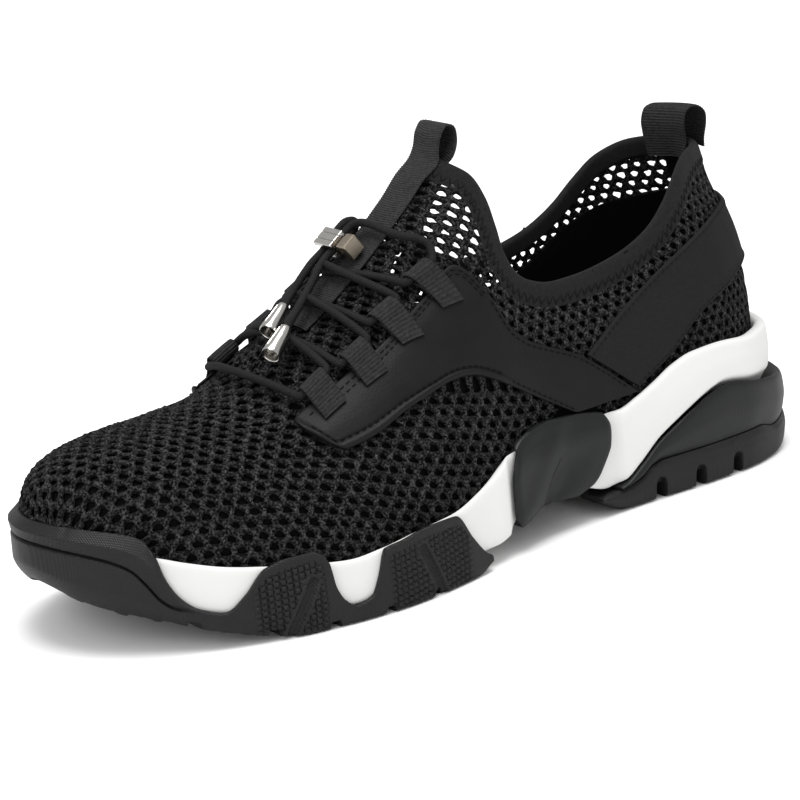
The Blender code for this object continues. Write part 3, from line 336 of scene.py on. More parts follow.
# Mesh object from points in millimetres; its faces are turned outwards by the sign of its volume. Quads with
# two corners in one place become triangles. The look is the slot's own, unless another is named.
def addPiece(name, points, quads, uv, slot, replaced=(), look=None, body="shoe", sharp=45.0, weld=False,
             turn=True):
    points = np.asarray(points, float).reshape(-1, 3)
    middle = points - points.mean(0)
    a, b, c, d = (middle[quads[:, k]] for k in range(4))
    volume = np.sum(a * np.cross(b, c)) + np.sum(a * np.cross(c, d))
    if turn and volume < 0:
        quads, uv = quads[:, ::-1], uv[:, ::-1]
    pinched = (quads[:, 3] == quads[:, 0]) | (quads[:, 1] == quads[:, 2])
    threes = np.where((quads[:, 3] == quads[:, 0])[:, None], [0, 1, 2], [0, 1, 3])[pinched]
    rows = np.arange(len(quads))[pinched][:, None]
    loops = np.concatenate([quads[~pinched].ravel(), quads[rows, threes].ravel()])
    corners = np.concatenate([uv[~pinched].reshape(-1, 2), uv[rows, threes].reshape(-1, 2)])
    fours = int((~pinched).sum())
    starts = np.concatenate([np.arange(fours) * 4, fours * 4 + np.arange(int(pinched.sum())) * 3])
    mesh = bpy.data.meshes.new(name)
    mesh.vertices.add(len(points))
    mesh.vertices.foreach_set("co", ((points - origin) * metre).astype(np.float32).ravel())
    mesh.loops.add(len(loops))
    mesh.loops.foreach_set("vertex_index", loops.astype(np.int32))
    mesh.polygons.add(len(starts))
    mesh.polygons.foreach_set("loop_start", starts.astype(np.int32))
    mesh.update(calc_edges=True)
    layer = mesh.uv_layers.new(name="UVMap")
    layer.data.foreach_set("uv", corners.astype(np.float32).ravel())
    mesh.validate()
    if weld:
        work = bmesh.new()
        work.from_mesh(mesh)
        bmesh.ops.remove_doubles(work, verts=work.verts, dist=2e-6)
        bmesh.ops.dissolve_degenerate(work, edges=work.edges, dist=1e-7)
        work.to_mesh(mesh)
        work.free()
    mesh.shade_smooth()
    mesh.set_sharp_from_angle(angle=math.radians(sharp))
    mesh.materials.append(looks[look or slot])
    piece = bpy.data.objects.new(name, mesh)
    bpy.context.scene.collection.objects.link(piece)
    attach(piece, body)
    if replaced:
        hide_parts(*replaced)
    return piece


# Shell between two grids: every column's outer rows and back along its inner rows, ends capped by rungs.
def shell(outer, inner, closed=False, scale=(1.0, 1.0)):
    ring = np.concatenate([outer, inner[:, ::-1]], 1)
    columns, size = ring.shape[:2]
    quads, uv = gridQuads(columns, size, closed, True)
    if not closed:
        k = np.arange(size // 2 - 1)
        first = np.stack([k, k + 1, size - 2 - k, size - 1 - k], 1)
        quads = np.concatenate([quads, first, first[:, ::-1] + (columns - 1) * size])
        uv = np.concatenate([uv, np.zeros((2 * len(k), 4, 2))])
    return ring, quads, uv * np.array(scale)


# Round tube: radius times cos and sin about a path, on frames made from one up direction, ends closed.
def tube(path, radius, sides):
    tangent = unit(np.gradient(path, axis=0))
    across = unit(np.cross(tangent, np.broadcast_to(np.array([0.1, 0.0, 1.0]), path.shape)))
    out = np.cross(across, tangent)
    path, across, out = (np.concatenate([v[:1], v, v[-1:]]) for v in (path, across, out))
    radius = np.full((len(path), 1, 1), float(radius))
    radius[[0, -1]] = 0.0
    turn = np.linspace(0, 2 * np.pi, sides, endpoint=False)[None, :, None]
    rings = path[:, None] + radius * (np.cos(turn) * across[:, None] + np.sin(turn) * out[:, None])
    quads, uv = gridQuads(len(path), sides, False, True)
    return rings, quads, np.stack([runOf(path)[uv[..., 0].astype(int)], uv[..., 1] / sides], -1)


# Finishes. Shared effects are node groups that put out a height, a mask or a colour.

# Link or constant into a socket.
def feed(tree, socket, value):
    if isinstance(value, bpy.types.NodeSocket):
        tree.links.new(value, socket)
    else:
        socket.default_value = value


def calc(tree, operation, a, b=0.0, c=0.0):
    node = tree.nodes.new("ShaderNodeMath")
    node.operation = operation
    for socket, value in zip(node.inputs, (a, b, c)):
        feed(tree, socket, value)
    return node.outputs[0]


def noise(tree, scale, detail, place, rough=0.5):
    node = tree.nodes.new("ShaderNodeTexNoise")
    for label, value in (("Scale", scale), ("Detail", detail), ("Roughness", rough), ("Vector", place)):
        feed(tree, node.inputs[label], value)
    return node.outputs["Fac"]


def objectPlace(tree):
    return tree.nodes.new("ShaderNodeTexCoord").outputs["Object"]


def placeParts(tree, kind):              # x, y and z of a place: kind is Object, or UV in millimetres
    split = tree.nodes.new("ShaderNodeSeparateXYZ")
    feed(tree, split.inputs[0], tree.nodes.new("ShaderNodeTexCoord").outputs[kind])
    return split.outputs


# Group with one result, or a tint and its mask: numbers in by label, and what an effect makes of them out.
def makeGroup(name, effect, results, **values):
    tree = bpy.data.node_groups.new(name, "ShaderNodeTree")
    for way, labels in (("INPUT", values), ("OUTPUT", results)):
        for label in labels:
            kind = "NodeSocketColor" if label == "Color" else "NodeSocketFloat"
            socket = tree.interface.new_socket(name=label, in_out=way, socket_type=kind)
            if way == "INPUT" and label != "Color":
                socket.default_value = values[label]
    entry, result = tree.nodes.new("NodeGroupInput"), tree.nodes.new("NodeGroupOutput")
    for label, value in zip(results, effect(tree, entry.outputs)):
        feed(tree, result.inputs[label], value)
    return tree


# Colour times gain times 1 + amount x (noise - 0.5), so that no surface is one flat colour.
def patchyTint(tree, entry):
    cloud = noise(tree, entry["Scale"], 4.0, objectPlace(tree))
    gain = calc(tree, "MULTIPLY_ADD", calc(tree, "SUBTRACT", cloud, 0.5), entry["Amount"], 1.0)
    gain = calc(tree, "MINIMUM", calc(tree, "MAXIMUM", gain, 0.05), 3.0)
    scaled = tree.nodes.new("ShaderNodeVectorMath")
    scaled.operation = "SCALE"
    feed(tree, scaled.inputs[0], entry["Color"])
    feed(tree, scaled.inputs["Scale"], calc(tree, "MULTIPLY", gain, entry["Gain"]))
    return scaled.outputs[0], cloud


# Grain of leather and moulded skins: cells with soft borders plus half of a fine noise.
def skinGrain(tree, entry):
    place = objectPlace(tree)
    cells = tree.nodes.new("ShaderNodeTexVoronoi")
    cells.feature = "SMOOTH_F1"
    feed(tree, cells.inputs["Vector"], place)
    feed(tree, cells.inputs["Scale"], entry["Cells"])
    fine = noise(tree, entry["Fine"], 3.0, place)
    return [calc(tree, "MULTIPLY_ADD", fine, 0.5, cells.outputs["Distance"])]


# Threads: half of sin(u across) x sin(v along), plus noise.
def threads(tree, entry):
    waves = [calc(tree, "SINE", calc(tree, "MULTIPLY", part, entry[label]))
             for part, label in zip(placeParts(tree, "UV"), ("Across", "Along"))]
    fuzz = noise(tree, 2600.0, 3.0, objectPlace(tree))
    return [calc(tree, "MULTIPLY_ADD", calc(tree, "MULTIPLY", *waves), 0.5, fuzz)]


# Fibres of yarn: noise, plus half of a finer one.
def fibres(tree, entry):
    place = objectPlace(tree)
    coarse = noise(tree, entry["Scale"], 3.0, place, 0.7)
    fine = noise(tree, calc(tree, "MULTIPLY", entry["Scale"], 2.7), 2.0, place, 0.6)
    return [calc(tree, "MULTIPLY_ADD", fine, 0.5, coarse)]


# Fine lines of a mould: product of sin over two slanted directions.
def mouldLines(tree, entry):
    x, y, z = placeParts(tree, "Object")
    turns = calc(tree, "DIVIDE", 6.28318, entry["Pitch"])
    slanted = [calc(tree, "MULTIPLY_ADD", x, slant, z) for slant in (0.75, -0.75)]
    return [calc(tree, "MULTIPLY", *(calc(tree, "SINE", calc(tree, "MULTIPLY", s, turns)) for s in slanted))]


# Painted shade of a net over its lattice: 0.5 - 0.5 cos(2 pi u / wide) cos(pi v / high), full on the bars'
# crests and nothing at the holes, so that the colour darkens into the holes as shade would.
def netCrestShade(tree, entry):
    waves = [calc(tree, "COSINE", calc(tree, "MULTIPLY", calc(tree, "DIVIDE", part, entry[label]), turn))
             for part, label, turn in zip(placeParts(tree, "UV"), ("Wide", "High"), (2 * math.pi, math.pi))]
    return [calc(tree, "MULTIPLY_ADD", calc(tree, "MULTIPLY", *waves), -0.5, 0.5)]


groups = dict(
    tint=makeGroup("patchyTint", patchyTint, ("Color", "Mask"), Color=None, Amount=0.3, Scale=60.0, Gain=1.0),
    grain=makeGroup("skinGrain", skinGrain, ("Height",), Cells=1200.0, Fine=4000.0),
    threads=makeGroup("threads", threads, ("Height",), Across=9.0, Along=9.0),
    fibres=makeGroup("fibres", fibres, ("Height",), Scale=2200.0),
    lines=makeGroup("mouldLines", mouldLines, ("Height",), Pitch=0.0009),
    # the crest group paints shade into a net's colour, darkest at its holes
    crestShade=makeGroup("netCrestShade", netCrestShade, ("Mask",), Wide=5.0, High=4.0))


# Node of a shared group with its values.
def useGroup(tree, group, values):
    node = tree.nodes.new("ShaderNodeGroup")
    node.node_tree = groups[group]
    for label, value in values.items():
        node.inputs[label].default_value = value
    return node


# Principled material: tinted base colour, roughness that follows the tint's mask, and bump from one group.
# With a lattice, the base colour also carries painted shade, dark at the net's holes and bright on its
# crests.
def finish(name, colour, roughness, spread=0.1, tint=0.35, tintScale=60.0, relief=None, depth=0.0001,
           strength=0.6, metallic=0.0, specular=0.3, sheen=0.0, values={}, lattice=None):
    material = bpy.data.materials.new(name)
    material.use_nodes = True
    tree = material.node_tree
    shader = tree.nodes["Principled BSDF"]
    patchy = useGroup(tree, "tint", dict(Color=(*colour, 1.0), Amount=tint, Scale=tintScale))
    rough = calc(tree, "MULTIPLY_ADD", patchy.outputs["Mask"], spread, roughness - spread / 2)
    for label, value in (("Metallic", metallic), ("Specular IOR Level", specular), ("Sheen Weight", sheen),
                         ("Base Color", patchy.outputs["Color"]), ("Roughness", rough)):
        feed(tree, shader.inputs[label], value)
    # painted shade: the tint's gain runs from 0.1 at the net's holes to 1.4 on its crests
    if lattice:
        crestShade = useGroup(tree, "crestShade", dict(Wide=lattice[0], High=lattice[1]))
        feed(tree, patchy.inputs["Gain"], calc(tree, "MULTIPLY_ADD", crestShade.outputs["Mask"], 1.3, 0.1))
    if relief:
        bump = tree.nodes.new("ShaderNodeBump")
        bump.inputs["Strength"].default_value = strength
        bump.inputs["Distance"].default_value = depth
        feed(tree, bump.inputs["Height"], useGroup(tree, relief, values).outputs["Height"])
        feed(tree, shader.inputs["Normal"], bump.outputs["Normal"])
    return material


# Pitches of the net along and up, half sizes of its holes, heights of its bars and knots, depth of its back.
knit = dict(front=(4.95, 4.1), rear=(4.8, 3.6), holeFront=(1.35, 1.05), holeRear=(1.12, 1.02),
            holeTongue=(1.15, 0.95), bar=0.75, knot=0.35, back=0.55, fray=0.22)


def dark(shade):                         # black with a trace of blue
    return shade, shade, shade + 0.0002


# the knit's colour carries painted shade towards its holes, laid out by its lattice
def knitLook(name, lattice):
    return finish(name, dark(0.0185), 0.9, tint=13.0, tintScale=1250.0, relief="fibres", depth=0.0009,
                  strength=1.0, specular=0.06, sheen=0.02, values=dict(Scale=1300.0), lattice=lattice)


def tapeLook(name, shade):
    return finish(name, dark(shade), 0.8, tint=1.6, tintScale=900.0, relief="threads", depth=0.00016,
                  strength=0.7, specular=0.09, values=dict(Across=4.0, Along=14.0))


looks = dict(
    knitFront=knitLook("openKnitFront", knit["front"]), knitRear=knitLook("openKnitRear", knit["rear"]),
    lining=finish("liningCloth", (0.004, 0.004, 0.004), 0.95, relief="threads", specular=0.05,
                  values=dict(Across=6.0, Along=6.0)),
    binding=finish("bindingTape", dark(0.012), 0.85, tint=1.2, tintScale=900.0, relief="threads",
                   depth=0.00018, strength=0.7, specular=0.08, sheen=0.03,
                   values=dict(Across=7.0, Along=10.0)),
    leather=finish("grainLeather", dark(0.0075), 0.5, 0.15, tint=0.5, tintScale=120.0, relief="grain",
                   depth=0.00016, strength=0.55, specular=0.17, values=dict(Cells=1500.0, Fine=5000.0)),
    webbing=tapeLook("ribbedWebbing", 0.022), strip=tapeLook("ribbedStrip", 0.032),
    strap=finish("wovenStrap", dark(0.013), 0.75, tint=0.8, tintScale=1200.0, relief="threads", depth=0.00008,
                 specular=0.1, values=dict(Across=9.0, Along=9.0)),
    thread=finish("sewingThread", (0.003, 0.003, 0.003), 0.7, relief="fibres", specular=0.15,
                  values=dict(Scale=5000.0)),
    elastic=finish("braidedElastic", dark(0.012), 0.7, tint=0.8, tintScale=900.0, relief="threads",
                   depth=0.0002, strength=0.8, specular=0.11, values=dict(Across=5.0, Along=50.0)),
    rubber=finish("matRubber", dark(0.009), 0.44, 0.15, tint=0.6, tintScale=200.0, relief="lines",
                  depth=0.00016, strength=0.5, specular=0.32),
    moulding=finish("satinMoulding", (0.009, 0.0095, 0.0098), 0.42, 0.12, tint=0.3, relief="lines",
                    depth=0.00006, strength=0.35, specular=0.33, values=dict(Pitch=0.0011)),
    foam=finish("whiteFoam", (0.635, 0.635, 0.622), 0.65, tint=0.05, tintScale=30.0, relief="fibres",
                depth=0.00006, strength=0.3, values=dict(Scale=900.0)),
    steel=finish("brightSteel", (0.74, 0.72, 0.69), 0.2, 0.12, tint=0.2, tintScale=200.0, relief="fibres",
                 depth=0.00002, strength=0.2, metallic=1.0, values=dict(Scale=1500.0)),
    bronze=finish("dullBronze", (0.46, 0.40, 0.32), 0.34, 0.15, tint=0.4, tintScale=250.0, relief="fibres",
                  depth=0.00003, strength=0.3, metallic=1.0, values=dict(Scale=1500.0)))
print("finishes:", len(looks))

# Camera of the picture, with focal length and middle in pixels, and plain soft studio light.
view = dict(turn=34.0, rise=16.3, roll=-5.5, distance=1.095, focal=3189.0, middle=(401.3, 397.5),
            target=(0.0065, -0.0022, 0.050), pixels=800, sensor=36.0)


def matrixOf(x, y, z, place):            # from three axes and a place
    matrix = np.eye(4)
    matrix[:3] = np.stack([x, y, z, place], 1)
    return Matrix(matrix.tolist())


# Camera at the target plus distance times its back axis, which is turned and raised; rolled about it.
def placeCamera():
    turn, rise, roll = (math.radians(view[k]) for k in ("turn", "rise", "roll"))
    back = np.array([math.sin(turn) * math.cos(rise), math.cos(turn) * math.cos(rise), math.sin(rise)])
    right = np.array([-math.cos(turn), math.sin(turn), 0.0])
    up = np.cross(back, right)
    camera = bpy.data.objects.new("camera", bpy.data.cameras.new("camera"))
    camera.data.sensor_width = view["sensor"]
    camera.data.lens = view["focal"] / view["pixels"] * view["sensor"]
    camera.data.shift_x = 0.5 - view["middle"][0] / view["pixels"]
    camera.data.shift_y = view["middle"][1] / view["pixels"] - 0.5
    camera.data.clip_start = 0.01
    camera.matrix_world = matrixOf(math.cos(roll) * right + math.sin(roll) * up,
                                   math.cos(roll) * up - math.sin(roll) * right, back,
                                   np.array(view["target"]) + view["distance"] * back)
    bpy.context.scene.collection.objects.link(camera)
    bpy.context.scene.camera = camera


# world light and floor colour as glossy rays see them (mirrored, mirroredFloor); the floor's is painted shade
# on the lower faces of shiny pieces
studio = dict(world=0.92, mirrored=0.42, top=14.0, front=2.4, floor=(0.97, 0.97, 0.97), mirroredFloor=0.6)


# Value that is another one in reflections: plain + is glossy ray x (reflected - plain).
def dimmed(tree, plain, reflected):
    glossy = tree.nodes.new("ShaderNodeLightPath").outputs["Is Glossy Ray"]
    return calc(tree, "MULTIPLY_ADD", glossy, reflected - plain, plain)


# White world, two area lights that face the middle, and a pale floor.
def placeStudio():
    scene = bpy.context.scene
    scene.view_settings.view_transform = "Standard"
    world = bpy.data.worlds.new("softWhite")
    world.use_nodes = True
    background = world.node_tree.nodes["Background"].inputs
    background[0].default_value = (1.0, 1.0, 1.0, 1.0)
    feed(world.node_tree, background[1], dimmed(world.node_tree, studio["world"], studio["mirrored"]))
    scene.world = world
    for name, place, size, power in (("topLight", (0.05, 0.1, 1.2), 0.8, studio["top"]),
                                     ("frontLight", (1.1, 0.5, 0.8), 0.6, studio["front"])):
        light = bpy.data.lights.new(name, "AREA")
        light.size = size
        light.energy = power
        lamp = bpy.data.objects.new(name, light)
        toward = np.array(place) / np.linalg.norm(place)
        x = unit(np.cross((0.0, 1.0, 0.0), toward))
        lamp.matrix_world = matrixOf(x, np.cross(toward, x), toward, place)
        scene.collection.objects.link(lamp)
    mesh = bpy.data.meshes.new("floor")
    mesh.from_pydata([(-4, -4, 0), (4, -4, 0), (4, 4, 0), (-4, 4, 0)], [], [(0, 1, 2, 3)])
    floor = bpy.data.objects.new("floor", mesh)
    scene.collection.objects.link(floor)
    pale = finish("paleFloor", studio["floor"], 0.9, tint=0.0, specular=0.1)
    tree = pale.node_tree
    # painted shade in reflections: the floor's colour drops to mirroredFloor for glossy rays only, which
    # darkens the lower faces of the shiny pieces
    feed(tree, tree.nodes["Group"].inputs["Gain"], dimmed(tree, 1.0, studio["mirroredFloor"]))
    mesh.materials.append(pale)


placeCamera()
placeStudio()

# Cord lock, lace ends and lace. Lace loops have a mouth and a foot in plan; a lace end starts inside the
# lock, clear of the stem, and then follows its route.
lock = dict(place=(13.5, -3.0, 6.2))
lace = dict(diameter=2.8, lift=3.9, loopHalf=4.3, tunnel=2.15, mouth={1: 1.6, -1: 1.2},
            bulges=(2.5, 4.5, 9.0), barBulge=5.0, over=2.4, under=-0.5)
laceLoops = [
    (50.5, 24.8, 49.7, 34.0), (35.0, 26.3, 33.3, 34.4), (20.3, 23.3, 16.3, 31.8), (3.7, 21.3, -2.6, 29.0)]
tails = dict(
    upper=dict(inside=-4.0, route=(
        (21.8, -8.6, 104.8), (26.0, -7.9, 102.7), (31.0, -6.6, 99.5), (36.2, -4.8, 96.1),
        (42.6, -1.9, 92.3))),
    lower=dict(inside=2.7, route=(
        (21.8, -4.3, 104.8), (26.2, -2.9, 102.4), (31.0, -0.6, 99.0), (36.6, 2.2, 95.3),
        (48.4, 7.4, 87.7))))


# Lock's own axes: down the instep, across the shoe, out of the ridge.
def lockPoint(forward, sideways, up):
    x, y, lift = lock["place"]
    slope = float(ridge(x + 1.0) - ridge(x - 1.0)) / 2
    tangent = np.array([1.0, 0.0, slope]) / math.hypot(1.0, slope)
    normal = np.array([-tangent[2], 0.0, tangent[0]])
    middle = np.array([x, y, float(ridge(x))]) + lift * normal
    parts = (np.asarray(v, float)[..., None] for v in (forward, sideways, up))
    return middle + sum(p * axis for p, axis in zip(parts, (tangent, np.array([0.0, 1.0, 0.0]), normal)))


# Medial place of a lateral plan point, at the same height.
def mirrored(x, y, side):
    return y if side > 0 else sidePoint(x, topPoint(x, y)[..., 2], side)[..., 1]


# Lathe along an axis: profile of distance and radius, with one slit cut into the radius.
def lathe(start, axis, profile, sides, slit=0.0):
    axis = unit(np.array(axis))
    across = unit(np.cross(axis, (0.0, 0.0, 1.0)))
    up = np.cross(across, axis)
    turn = np.linspace(0, 2 * np.pi, sides, endpoint=False)
    distance, radius, keeps = np.array(profile).T
    off = np.abs((turn - 1.1 + np.pi) % (2 * np.pi) - np.pi)
    radius = radius[:, None] - slit * keeps[:, None] * (off < 0.1)
    ring = np.cos(turn)[:, None] * across + np.sin(turn)[:, None] * up
    points = start + distance[:, None, None] * axis + radius[..., None] * ring[None]
    quads, uv = gridQuads(len(profile), sides, False, True)
    return points, quads, uv


# Metal tip: distance from its mouth, radius, share of the slit's depth.
tipProfile = [
    (0.0, 0.0, 0), (0.0, 1.75, 0), (0.15, 1.98, 0), (0.5, 2.08, 0.3), (1.3, 2.3, 1), (4, 2.52, 1),
    (7, 2.8, 1), (9.5, 3.08, 1), (11.2, 3.27, 1), (12.1, 3.3, 0.5), (12.5, 3.2, 0), (12.6, 2.95, 0),
    (12.4, 2.7, 0), (11.0, 2.5, 0), (9.0, 2.3, 0), (8.8, 0.0, 0)]


# Lace ends: tubes from inside the lock along their routes, each with a lathed tip.
def buildTails():
    for label, end in tails.items():
        inside = lockPoint(end["inside"], end["route"][0][1] - lock["place"][1], 0.0)
        route = np.concatenate([[inside], np.array(end["route"])])
        path = spline(route, 60)
        axis = path[-1] - path[-2]
        tail = addPiece("laceTail_" + label, *tube(path, lace["diameter"] / 2, 16), "elastic",
                        ("lace_tail_" + label,), weld=True)
        barrel = lathe(path[-1] + 0.3 * unit(axis), axis, tipProfile, 64, 0.3)
        tip = addPiece("cordTip_" + label, *barrel, "steel", ("cord_tip_" + label,), sharp=35, weld=True)
        metres = (spline(route, 30) - origin) * metre


# Strand between two plan places: straight in x with a sin^2 bulge, cosine across the ridge.
def strand(start, end, bulge, lift):
    t = np.linspace(0, 1, 60)
    x = start[0] + (end[0] - start[0]) * t + bulge * np.sin(np.pi * t) ** 2
    first, second = start[1] - float(ridgeY(start[0])), end[1] - float(ridgeY(end[0]))
    y = ridgeY(x) + 0.5 * (first + second) + 0.5 * (first - second) * np.cos(np.pi * t)
    return topSurface(x, y, lace["lift"] + lift * np.sin(np.pi * t) ** 6)


# Plan place at a mouth of a lace loop's tunnel, ahead of the loop (1) or behind it (-1).
def tunnel(k, side, ahead):
    x = laceLoops[k][0] + ahead * (lace["loopHalf"] + lace["mouth"][ahead])
    return x, float(mirrored(np.array(x), np.array(laceLoops[k][1]), side))


# Cord inside a loop: even steps from mouth to mouth at the cord's lift.
def throughLoop(k, side, count=14):
    x = np.linspace(tunnel(k, side, 1)[0], tunnel(k, side, -1)[0], count)
    return topSurface(x, mirrored(x, np.full(count, laceLoops[k][1]), side), np.full(count, lace["lift"]))


# From the last loop over the tongue's edge into the lock.
def topStrand(side):
    x, y = tunnel(3, side, -1)
    start = topSurface(np.array([x, x - 1.5]), np.array([y, y - side * 2.5]), np.full(2, lace["lift"]))
    rise = topSurface(np.array([x + 4.5]), np.array([0.55 * y]), np.full(1, lace["lift"] + 1.6))
    end = lockPoint(np.array([-7.0, -4.0, -2.6]), np.full(3, -5.0 + 2.3 * side), np.zeros(3))
    return spline(np.concatenate([start, rise, end]), 60)


# One lace from the lock through every loop and back: each half crosses over on one side, under on the other.
def buildLace():
    bar = strand(tunnel(0, -1, 1), tunnel(0, 1, 1), lace["barBulge"], 0.0)
    halves = []
    for side in (1, -1):
        parts = [throughLoop(0, side)]
        for k, bulge in enumerate(lace["bulges"]):
            near = side if k % 2 == 0 else -side
            lift = lace["over"] if near > 0 else lace["under"]
            parts.append(strand(tunnel(k, near, -1), tunnel(k + 1, -near, 1), bulge, lift)[1:-1])
            parts.append(throughLoop(k + 1, -near))
        parts.append(topStrand(-side)[1:])
        halves.append(np.concatenate(parts))
    path = np.concatenate([halves[1][::-1], bar[1:-1], halves[0]])
    path = soften(along(path, np.linspace(0, 1, 1100)), 6)
    names = ["lace_bar_front", "lace_cross_1", "lace_cross_2", "lace_cross_3", "lace_top_lateral",
             "lace_top_medial"]
    addPiece("laceCord", *tube(path, lace["diameter"] / 2, 18), "elastic", names, weld=True)


# Rings along the lock's press line: outline of forward and up shares times the row's half depth and half
# height. An outline point has a plain and a cut forward share; a row's last value chooses between them.
def lockLoft(rows, outline):
    rows, (plain, cut, up) = np.array(rows), np.array(outline).T
    forward = plain + rows[:, 3:] * (cut - plain)
    points = lockPoint(rows[:, 1:2] * forward, rows[:, :1] + 0 * up, rows[:, 2:3] * up)
    return (points, *gridQuads(len(rows), len(up), False, True))


# Body of two plates with an open slot between them and fine lines on top; button block with a square pocket.
def buildLock():
    half = [
        (0.32, 0.32, 1), (0.34, 0.34, 0.88), (0.42, 0.42, 0.88), (0.44, 0.44, 1), (0.94, 0.94, 1),
        (1, 1, 0.93), (1, 1, 0.56), (1, 0.97, 0.52), (1, 0.73, 0.5), (1, 0.7, 0.46), (1, 0.7, -0.16),
        (1, 0.73, -0.2), (1, 0.97, -0.22), (1, 1, -0.26), (1, 1, -0.93), (0.94, 0.94, -1)]
    plates = half + [(-f, -c, u) for f, c, u in half[::-1]]
    body = [
        (-9.8, 0.0, 0.0, 1), (-9.8, 3.3, 2.9, 1), (-9.65, 3.5, 3.1, 1), (-9.4, 3.6, 3.2, 1),
        (0.0, 3.6, 3.2, 1), (0.2, 3.5, 3.1, 1), (0.3, 3.3, 2.9, 1), (0.3, 2.5, 1.8, 0), (-5.0, 2.5, 1.8, 0),
        (-5.0, 0.0, 0.0, 0)]
    block = [
        (-0.9, -0.9, 1), (0.9, 0.9, 1), (1, 1, 0.9), (1, 1, 0.72), (1, 0.7, 0.7), (1, 0.7, 0.08),
        (1, 1, 0.06), (1, 1, -0.9), (0.9, 0.9, -1), (-0.9, -0.9, -1), (-1, -1, -0.9), (-1, -1, 0.9)]
    button = [
        (8.2, 0.0, 0.0, 0), (8.2, 2.6, 2.8, 0), (8.2, 2.72, 2.92, 0), (8.05, 2.98, 3.18, 0),
        (7.8, 3.08, 3.28, 0), (5.95, 3.1, 3.3, 0), (5.9, 3.1, 3.3, 1), (4.05, 2.98, 3.18, 1),
        (4.0, 2.98, 3.18, 0), (3.75, 2.95, 3.15, 0), (3.5, 2.75, 2.95, 0), (3.5, 2.2, 1.5, 0),
        (-1.5, 2.2, 1.5, 0), (-1.5, 0.0, 0.0, 0)]
    addPiece("lockBody", *lockLoft(body, plates), "steel", ("lock_body",), sharp=25, weld=True)
    addPiece("lockButton", *lockLoft(button, block), "bronze", ("lock_button",), body="button", sharp=25,
             weld=True)


buildTails()
buildLace()
buildLock()
print("camera, lace and lock placed")

# Knit: a net of rounded bars round staggered holes, in panels that meet under the eyestays. Rows of holes run
# along the shoe; in front they slope down towards the heel by rowSlope. Panels are outlines in side view.
rowSlope = np.array([(-30, 0.0), (16, 0.05), (37, 0.12), (60, 0.2), (75, 0.24), (100, 0.33), (143, 0.25)])
rearPanel = np.array([
    (-30.5, 97), (-14, 90), (-9, 76.5), (-17, 67.9), (-41.5, 53.5), (-60.5, 40.2), (-66, 20), (-175, 20),
    (-175, 140), (-100, 140)])
tonguePanel = np.array([
    (54, 59.2), (44, 63), (27, 70), (10, 77), (-3, 81), (-13, 86), (-31, 98), (-60, 150), (54, 150)])
tongueSlope = 0.5


def insidePanel(panel, x, z):            # even-odd count of the panel's edges to the right of a point
    a, b = panel, np.roll(panel, -1, axis=0)
    x, z = x[..., None], z[..., None]
    crosses = (a[:, 1] > z) != (b[:, 1] > z)
    climb = np.where(b[:, 1] == a[:, 1], 1e-9, b[:, 1] - a[:, 1])
    edge = a[:, 0] + (z - a[:, 1]) * (b[:, 0] - a[:, 0]) / climb
    return (crosses & (x < edge)).sum(-1) % 2 == 1


# Bilinear reading of a table of points and normals, raised by a height and the creases.
def surfaceOf(table, step, start, flip):
    normal = gridNormals(table) * flip

    def at(u, v, height):
        i = np.clip((u - start[0]) / step, 0, table.shape[0] - 1.001)
        j = np.clip((v - start[1]) / step, 0, table.shape[1] - 1.001)
        i0, j0 = i.astype(int), j.astype(int)
        fi, fj = (i - i0)[..., None], (j - j0)[..., None]
        mix = [t[i0, j0] * (1 - fi) * (1 - fj) + t[i0 + 1, j0] * fi * (1 - fj) + t[i0, j0 + 1] * (1 - fi) * fj
               + t[i0 + 1, j0 + 1] * fi * fj for t in (table, normal)]
        return mix[0] + unit(mix[1]) * (np.asarray(height) + creased(mix[0]))[..., None]
    return at


# Front panels: steps from the toe along the ridge, and steps round each section from the ridge. The rows keep
# their height while the ridge climbs. The tongue has a flank on either side (1 or -1) of its strip; the vamp
# is whole (0).
def frontSurface(flank, step=0.75, reach=110):
    x = np.linspace(-72, 142.9, 1500)[::-1]
    run = summed(np.hypot(np.diff(x), np.diff(ridge(x))))
    places = np.interp(np.arange(0, run[-1], step), run, x)[:, None]
    s = np.linspace(0, 1, 220)[None]
    level = 1 - s ** 2
    half = np.interp(places, upperX, upperHalf) * np.sqrt(1 - level ** fullness(places))
    middle = centre(places) + lean(places) * level
    z = footbed(places) + level * (ridge(places) - footbed(places))
    b = np.arange(0, reach, step)
    sides = []
    for side in (-1, 1):
        y = middle + side * half
        yz = np.stack([np.concatenate([y, y[:, -1:]], 1), np.concatenate([z, z[:, -1:] - 60], 1)], -1)
        length = np.cumsum(np.linalg.norm(np.diff(yz, axis=1), axis=2), 1)
        length = np.concatenate([np.zeros((len(places), 1)), length], 1)
        rows = [np.stack([np.full(len(b), p[0]), np.interp(b, r, q[:, 0]), np.interp(b, r, q[:, 1])], 1)
                for p, r, q in zip(places, length, yz)]
        sides.append(np.array(rows))
    at = surfaceOf(np.concatenate([sides[0][:, :0:-1], sides[1]], 1), step, (0.0, -(len(b) - 1) * step), -1)
    slope = tongueSlope if flank else column(rowSlope, 1, x[1:])
    pace = 1.12 if flank else 1 - 0.15 * ease(-x[1:], -42, -30)
    lattice = summed(pace * np.hypot(np.diff(x), ease(x[1:], 58, 95) * np.diff(ridge(x))))
    sag = summed(-np.diff(x) * slope)
    climbed = np.maximum(ridge(x) - ridge(85.0), 0.0) * (x < 85)

    def place(u, v, height):
        a = np.interp(u, lattice, run)
        b = v + np.interp(a, run, sag)
        rise = np.interp(a, run, climbed)
        if flank:
            return at(a, flank * (b + rise), height)
        return at(a, b + np.sign(b) * ease(np.abs(b), 2, 23) * rise, height)
    return place


